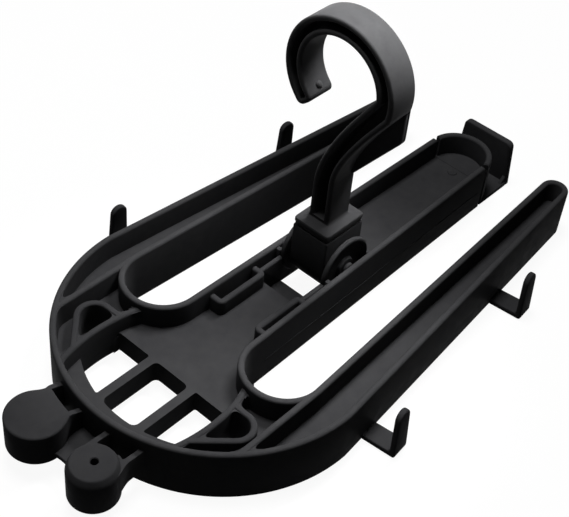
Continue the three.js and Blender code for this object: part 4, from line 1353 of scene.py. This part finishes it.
@dataclass
class FoldPivot:
    """The block that the hook folds with, its cheeks, spacers and axle. Sizes in millimetres."""

    axle_radius: float = 3.0
    axle_reach: float = 28.6
    axle_chamfer: float = 0.5
    block_half_width: float = 16.5
    block_half_depth: float = 20.75
    block_top: float = 70.0
    block_round: float = 1.3
    block_bore_reach: float = 20.0
    chamber: Triple = (8.6, 10.0, 57.0)
    shank: Triple = (4.05, 50.0, 75.0)
    arch_radius: float = 14.0
    arch_drop: float = 9.0
    arch_reach: float = 30.0
    cheek_radius: float = 25.5
    cheek_x: Pair = (18.0, 22.0)
    hub_radius: float = 9.0
    spacer_radius: float = 5.0
    spacer_chamfer: float = 0.4
    spacer_x: Pair = (22.2, 25.2)

    def block(self) -> None:
        """The block with its round foot, swivel bore and nut chamber."""
        depth, y, z = self.block_half_depth, HANGER.pivot_y, HANGER.pivot_z
        outline = [(y + depth, self.block_top), (y - depth, self.block_top)]
        outline += arc((y, z), depth, 180, 360, 28)
        bm = prism(outline, Axis.X, -self.block_half_width, self.block_half_width)
        softened(bm, self.block_round, 3)
        bores = [bar(*self.chamber, (0, y, 0), steps=40), bar(*self.shank, (0, y, 0))]
        arch = prism(arc((0, z - depth - self.arch_drop), self.arch_radius, 0, 180, 20), Axis.Y,
                     y - self.arch_reach, y + self.arch_reach)
        bm = combined(bm, [*bores, arch, axle_bar(self.block_bore_reach)], Join.CUT)
        placed(bm, "moulded_pivot_block", ["pivot_block"], Body.FOLD_BLOCK)

    def cheek_outline(self) -> Outline:
        """A cheek's cross section: hub, inner face, rounded rim, recess and hub again."""
        (inner, outer), edge, hub, bore = self.cheek_x, self.cheek_radius, self.hub_radius, HANGER.axle_bore
        return [(bore, inner - 1.3), (hub - 0.4, inner - 1.3), (hub, inner - 0.9), (hub, inner),
                (edge - 1.6, inner), (edge - 0.6, inner + 0.4), (edge, inner + 1.4),
                (edge, outer - 1.6), (edge - 0.6, outer - 0.5), (edge - 1.6, outer),
                (edge - 2.1, outer), (edge - 2.8, outer - 0.5), (edge - 3.1, outer - 1.4),
                (edge - 3.3, outer - 2.4), (hub - 0.2, outer - 2.4), (hub - 1.0, outer - 0.5),
                (hub - 1.4, outer), (bore, outer)]

    def spacer_outline(self) -> Outline:
        """A spacer's cross section, with chamfered outer edges."""
        (inner, outer), radius, cut = self.spacer_x, self.spacer_radius, self.spacer_chamfer
        return [(HANGER.axle_bore, inner), (radius - cut, inner), (radius, inner + cut),
                (radius, outer - cut), (radius - cut, outer), (HANGER.axle_bore, outer)]

    def ring(self, outline: Outline, side: int, steps: int) -> Solid:
        """A ring round the fold axis, turned from its cross section.

        Args:
            outline: the cross section: radius and distance from the middle plane.
            side: 1 for the right side, -1 for the left.
            steps: how many straight steps go round.

        Returns:
            A closed solid.
        """
        bm = turned([*outline, outline[0]], (0, 0, 0), Axis.X, steps)
        if side < 0:
            mirror(bm)
        bmesh.ops.translate(bm, vec=(0, HANGER.pivot_y, HANGER.pivot_z), verts=bm.verts)
        return bm

    def axle(self) -> None:
        """The steel axle with chamfered ends."""
        reach, radius, cut = self.axle_reach, self.axle_radius, self.axle_chamfer
        pairs = [(0, -reach), (radius - cut, -reach), (radius, cut - reach), (radius, reach - cut),
                 (radius - cut, reach), (0, reach)]
        bm = turned(pairs, (0, HANGER.pivot_y, HANGER.pivot_z), Axis.X, 32)
        placed(bm, "turned_axle", ["fold_axle"], Body.FOLD_BLOCK, STEEL)

    def build(self) -> None:
        """Shapes and dresses the pivot's pieces."""
        self.block()
        for side, name in SIDES.items():
            placed(self.ring(self.cheek_outline(), side, 64), f"moulded_cheek_{name}", [f"cheek_{name}"],
                   Body.FOLD_BLOCK, crisp=28)
            placed(self.ring(self.spacer_outline(), side, 32), f"turned_spacer_{name}",
                   [f"axle_spacer_{name}"], Body.FOLD_BLOCK)
        self.axle()


# The hook


@dataclass(frozen=True)
class HookEdge:
    """One edge of the hook, from the loop into the stem. Sizes in millimetres, the angle in degrees."""

    radius: float
    leave: float
    bend: Pair
    ease: float
    stem: Pair

    def path(self, loop_z: float, tip_angle: float, foot_z: float) -> Outline:
        """The edge from the tip round the loop and down the stem.

        Args:
            loop_z: the height of the loop's centre.
            tip_angle: where the loop's tip stands, in degrees.
            foot_z: the height at which the edge ends in the foot.

        Returns:
            Points across X and Z.
        """
        x, top = self.stem
        loop = arc((0, loop_z), self.radius, tip_angle, self.leave, 56)
        return loop + soft_curve(loop[-1], self.bend, (x, top + self.ease), (x, top), 16)[1:] + [(x, foot_z)]


@dataclass
class Hook:
    """The hook: a channel-shaped loop and stem, its fin and its foot. Sizes in millimetres."""

    near_y: float = 98.0
    far_y: float = 122.0
    web: float = 4.0
    flange: float = 4.5
    rim_round: float = 1.9
    back_round: float = 1.3
    loop_z: float = 201.1
    outer: HookEdge = HookEdge(46.8, -12.0, (39.3, 180.6), 24.0, (8.0, 115.0))
    throat: HookEdge = HookEdge(32.5, 4.0, (26.0, 191.6), 35.0, (-10.0, 108.0))
    tip_angle: float = 222.0
    tip_corner: float = 5.0
    stem_foot_z: float = 74.8
    fin_x: float = 44.8
    fin_top: float = 188.6
    fin_round: float = 1.2
    fin_clear: float = 0.07
    fin_back_clear: float = 0.06
    foot_low: float = 72.7
    foot_high: float = 77.0
    foot_half_x: float = 16.5
    foot_half_y: float = 20.75
    foot_corner: float = 2.6
    pocket: Triple = (7.1, 70.0, 76.9)
    plate_inset: float = 0.5
    plate_z: Pair = (70.3, 72.7)
    plate_corner: float = 2.4
    plate_round: float = 0.6
    plate_hole: Triple = (4.3, 69.0, 74.0)
    knob_angle: float = 221.0
    knob_y: float = 111.0
    knob_radius: float = 3.5
    knob_sunk: float = 1.6

    def tip(self) -> Outline:
        """The rounded end of the loop, from the throat side to the outer side."""
        turn = math.radians(self.tip_angle)
        out = Vector((math.cos(turn), math.sin(turn)))
        ahead = Vector((-math.sin(turn), math.cos(turn)))
        reach = (self.outer.radius - self.throat.radius) / 2
        corner = self.tip_corner
        centre = Vector((0, self.loop_z)) + ahead * (reach - corner)
        points = []
        for radius, start in ((self.throat.radius + corner, 180), (self.outer.radius - corner, 90)):
            for along, across in arc((0, 0), corner, start, start - 90, 6):
                point = centre + out * (radius + along) + ahead * across
                points.append((point.x, point.y))
        return points

    def channel(self) -> Solid:
        """The loop and stem with their hollow side."""
        outer, throat = (edge.path(self.loop_z, self.tip_angle, self.stem_foot_z)
                         for edge in (self.outer, self.throat))
        bm = prism(self.tip() + outer[1:] + throat[::-1][:-1], Axis.Y, self.near_y, self.far_y)
        front = min(bm.faces, key=lambda f: f.calc_center_median().y)
        bmesh.ops.inset_region(bm, faces=[front], thickness=self.flange, use_even_offset=True,
                               use_boundary=True)
        floor = bmesh.ops.extrude_discrete_faces(bm, faces=[front])["faces"][0]
        bmesh.ops.translate(bm, vec=(0, self.far_y - self.web - self.near_y, 0), verts=floor.verts)
        bmesh.ops.recalc_face_normals(bm, faces=bm.faces)
        back = self.far_y - self.web - HAIR
        softened(bm, self.rim_round, 4, 50,
                 lambda edge: all(abs(v.co.y - self.near_y) < HAIR for v in edge.verts))
        return softened(bm, self.back_round, 3, 50, lambda edge: all(v.co.y > back for v in edge.verts))

    def fin(self) -> Solid:
        """The flat fin between the loop and the stem."""
        x = self.fin_x
        bend = soft_curve((x - 3.4, 159.4), (x - 1.2, 162.3), (x, 163.2), (x, 166.6), 6)
        outline = ([(x - 5.5, self.fin_top), (-1, 117.8), (-1, 112.5), (6.5, 113), (x - 4.0, 158.6)]
                   + bend + [(x, self.fin_top)])
        return softened(prism(outline, Axis.Y, self.far_y - self.web + self.fin_clear,
                              self.far_y - self.fin_back_clear), self.fin_round, 3)

    def foot(self) -> Solid:
        """The foot plate that spreads out under the stem."""
        half_x, half_y, low, high = self.foot_half_x, self.foot_half_y, self.foot_low, self.foot_high
        base = rounded_box(-half_x, half_x, -half_y, half_y, self.foot_corner, self.foot_corner)
        # Each ring: its height, how far it is drawn in, how much narrower it is, and its shift in X
        rings = [(low, 0.8, 0, 0), (low + 0.25, 0.25, 0, 0), (low + 0.8, 0, 0, 0), (high - 1.3, 0, 0, 0),
                 (high - 0.45, 0.35, 0, 0), (high, 1.2, 0, 0), (high + 0.1, 3.4, 1.0, -0.3),
                 (high + 0.45, 5.6, 2.2, -0.7), (high + 1.1, 6.6, 2.2, -0.9), (high + 2.2, 7.2, 1.8, -1.0),
                 (high + 3.6, 7.5, 1.32, -1.0)]
        places = []
        for z, inset, narrower, shift in rings:
            shrink = Matrix.Diagonal(((half_x - inset) / half_x, (half_y - inset - narrower) / half_y, 1, 1))
            places.append(Matrix.Translation((shift, HANGER.pivot_y, z)) @ shrink @ Matrix(Axis.Y.value))
        return swept(base, places)

    def tip_knob(self) -> Solid:
        """The small round knob on the throat side of the tip."""
        bm = bmesh.new()
        bmesh.ops.create_uvsphere(bm, u_segments=24, v_segments=14, radius=self.knob_radius)
        turn, radius = math.radians(self.knob_angle), self.throat.radius + self.knob_sunk
        place = (radius * math.cos(turn), self.knob_y, self.loop_z + radius * math.sin(turn))
        bmesh.ops.translate(bm, vec=place, verts=bm.verts)
        return bm

    def wear_plate(self) -> Solid:
        """The thin plate under the foot, with a hole for the swivel stud."""
        half_x, half_y = self.foot_half_x - self.plate_inset, self.foot_half_y - self.plate_inset
        y, corner = HANGER.pivot_y, self.plate_corner
        outline = rounded_box(-half_x, half_x, y - half_y, y + half_y, corner, corner)
        plate = prism(outline, Axis.Z, *self.plate_z)
        softened(plate, self.plate_round, 2, 60)
        return combined(plate, [bar(*self.plate_hole, (0, y, 0))], Join.CUT)

    def build(self) -> None:
        """Puts the hook together and dresses it."""
        body = combined(self.channel(), [self.fin(), self.foot(), self.tip_knob()], Join.ADD)
        pocket = bar(*self.pocket, (0, HANGER.pivot_y, 0), steps=36)
        placed(combined(body, [pocket], Join.CUT), "moulded_hook", ["hook"], Body.HOOK, HOOK_BLACK)
        placed(self.wear_plate(), "moulded_wear_plate", ["wear_plate"], Body.HOOK, HOOK_BLACK)


# Camera, light and floor


@dataclass
class Studio:
    """The camera, the lamps, the backdrop and the floor. Sizes in metres, powers in watts."""

    azimuth: float = 38.06
    elevation: float = 43.20
    roll: float = 6.30
    camera_place: Triple = (0.4171, -0.5505, 0.6979)
    lens: float = 81.50
    sensor: float = 36.0
    nearest: float = 0.05
    top_place: Triple = (-0.2, 0.0, 1.8)
    top_target: Triple = (0.0, 0.0, 0.05)
    top_size: float = 0.5
    top_power: float = 20.0
    spot_place: Triple = (0.012, 0.155, 0.43)
    spot_target: Triple = (0.01, 0.045, 0.225)
    spot_angle: float = 38.0
    spot_size: float = 0.1
    spot_power: float = 21.0
    air_light: float = 0.01
    floor_glow: float = 0.935
    floor_grey: float = 0.1
    floor_size: float = 6.0
    floor_z: float = -0.0004

    def camera(self) -> None:
        """Sets up the camera at the photograph's place."""
        turn, rise, lean = (math.radians(v) for v in (self.azimuth, self.elevation, self.roll))
        facing = (Matrix.Rotation(turn, 4, "Z") @ Matrix.Rotation(math.pi / 2 - rise, 4, "X")
                  @ Matrix.Rotation(lean, 4, "Z"))
        data = bpy.data.cameras.new("camera")
        data.lens, data.sensor_width, data.clip_start = self.lens, self.sensor, self.nearest
        camera = bpy.data.objects.new("camera", data)
        camera.matrix_world = Matrix.Translation(self.camera_place) @ facing
        bpy.context.scene.collection.objects.link(camera)
        bpy.context.scene.camera = camera

    def lamp(self, data: bpy.types.Light, place: Triple, target: Triple) -> None:
        """Hangs one lamp so that it faces a target.

        Args:
            data: the lamp's settings.
            place: where it hangs.
            target: the point that it faces.
        """
        lamp = bpy.data.objects.new(data.name, data)
        lamp.location = place
        lamp.rotation_euler = (Vector(target) - Vector(place)).to_track_quat("-Z", "Y").to_euler()
        bpy.context.scene.collection.objects.link(lamp)

    def lamps(self) -> None:
        """A square soft box over the hanger and a soft-edged round beam on the hook."""
        soft_box = bpy.data.lights.new("top_lamp", "AREA")
        soft_box.shape, soft_box.size, soft_box.energy = "SQUARE", self.top_size, self.top_power
        self.lamp(soft_box, self.top_place, self.top_target)
        spot = bpy.data.lights.new("hook_lamp", "SPOT")
        spot.spot_size, spot.spot_blend = math.radians(self.spot_angle), 1.0
        spot.shadow_soft_size, spot.energy = self.spot_size, self.spot_power
        self.lamp(spot, self.spot_place, self.spot_target)

    def seen_white(self, desk: NodeDesk) -> Socket:
        """One where the eye, a reflection or glass looks at it, and nothing for other light."""
        rays = desk.put("ShaderNodeLightPath").outputs
        seen = desk.sum_of("ADD", rays["Is Camera Ray"], rays["Is Glossy Ray"])
        node = desk.put("ShaderNodeMath", {"operation": "ADD", "use_clamp": True})
        desk.feed(node, 0, seen)
        desk.feed(node, 1, rays["Is Transmission Ray"])
        return node.outputs[0]

    def backdrop(self) -> None:
        """A world that is white to look at and dim as a light."""
        world = bpy.data.worlds.new("studio_air")
        bpy.context.scene.world = world
        world.use_nodes = True
        desk = NodeDesk(world.node_tree)
        strength = desk.ranged(self.seen_white(desk), 0.0, 1.0, self.air_light, 1.0)
        air = desk.put("ShaderNodeBackground", Color=(1, 1, 1, 1), Strength=strength)
        desk.put("ShaderNodeOutputWorld", Surface=air.outputs[0])

    def floor(self) -> None:
        """A pale floor that keeps a soft shadow."""
        bm = bmesh.new()
        bmesh.ops.create_grid(bm, x_segments=1, y_segments=1, size=self.floor_size)
        bmesh.ops.translate(bm, vec=(0, 0, self.floor_z), verts=bm.verts)
        floor = as_object(bm, "floor")
        material, desk = blank_material("pale_floor")
        glow = desk.put("ShaderNodeEmission", Color=(1, 1, 1, 1),
                        Strength=desk.sum_of("MULTIPLY", self.seen_white(desk), self.floor_glow))
        matt = desk.put("ShaderNodeBsdfDiffuse", Color=(*[self.floor_grey] * 3, 1))
        both = desk.put("ShaderNodeAddShader")
        desk.feed(both, 0, glow.outputs[0])
        desk.feed(both, 1, matt.outputs[0])
        desk.put("ShaderNodeOutputMaterial", Surface=both.outputs[0])
        floor.data.materials.append(material)

    def build(self) -> None:
        """Sets up all of it."""
        self.camera()
        self.lamps()
        self.backdrop()
        self.floor()
        bpy.context.scene.view_settings.view_transform = "Standard"
        log.info("studio ready")


def dress_carried_nodes() -> None:
    """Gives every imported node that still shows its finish."""
    steel_nodes = {"fold_axle", "swivel_stud", "swivel_washer", "swivel_nut"}
    hook_nodes = {"hook", "wear_plate"}
    for name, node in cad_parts.items():
        finish = STEEL if name in steel_nodes else HOOK_BLACK if name in hook_nodes else FRAME_BLACK
        PAINT.dress(node, finish)


def main() -> None:
    """Builds the hanger and its studio."""
    logging.basicConfig(level=logging.INFO, format="%(name)s %(message)s")
    Studio().build()
    dress_carried_nodes()
    FrameMoulding().build()
    EndStop().build()
    for place, y in PEG_PLACES.items():
        for side in SIDES:
            GlovePeg(place, side, y).build()
    Bosses().build()
    FoldPivot().build()
    Hook().build()


if __name__ == "__main__":
    main()
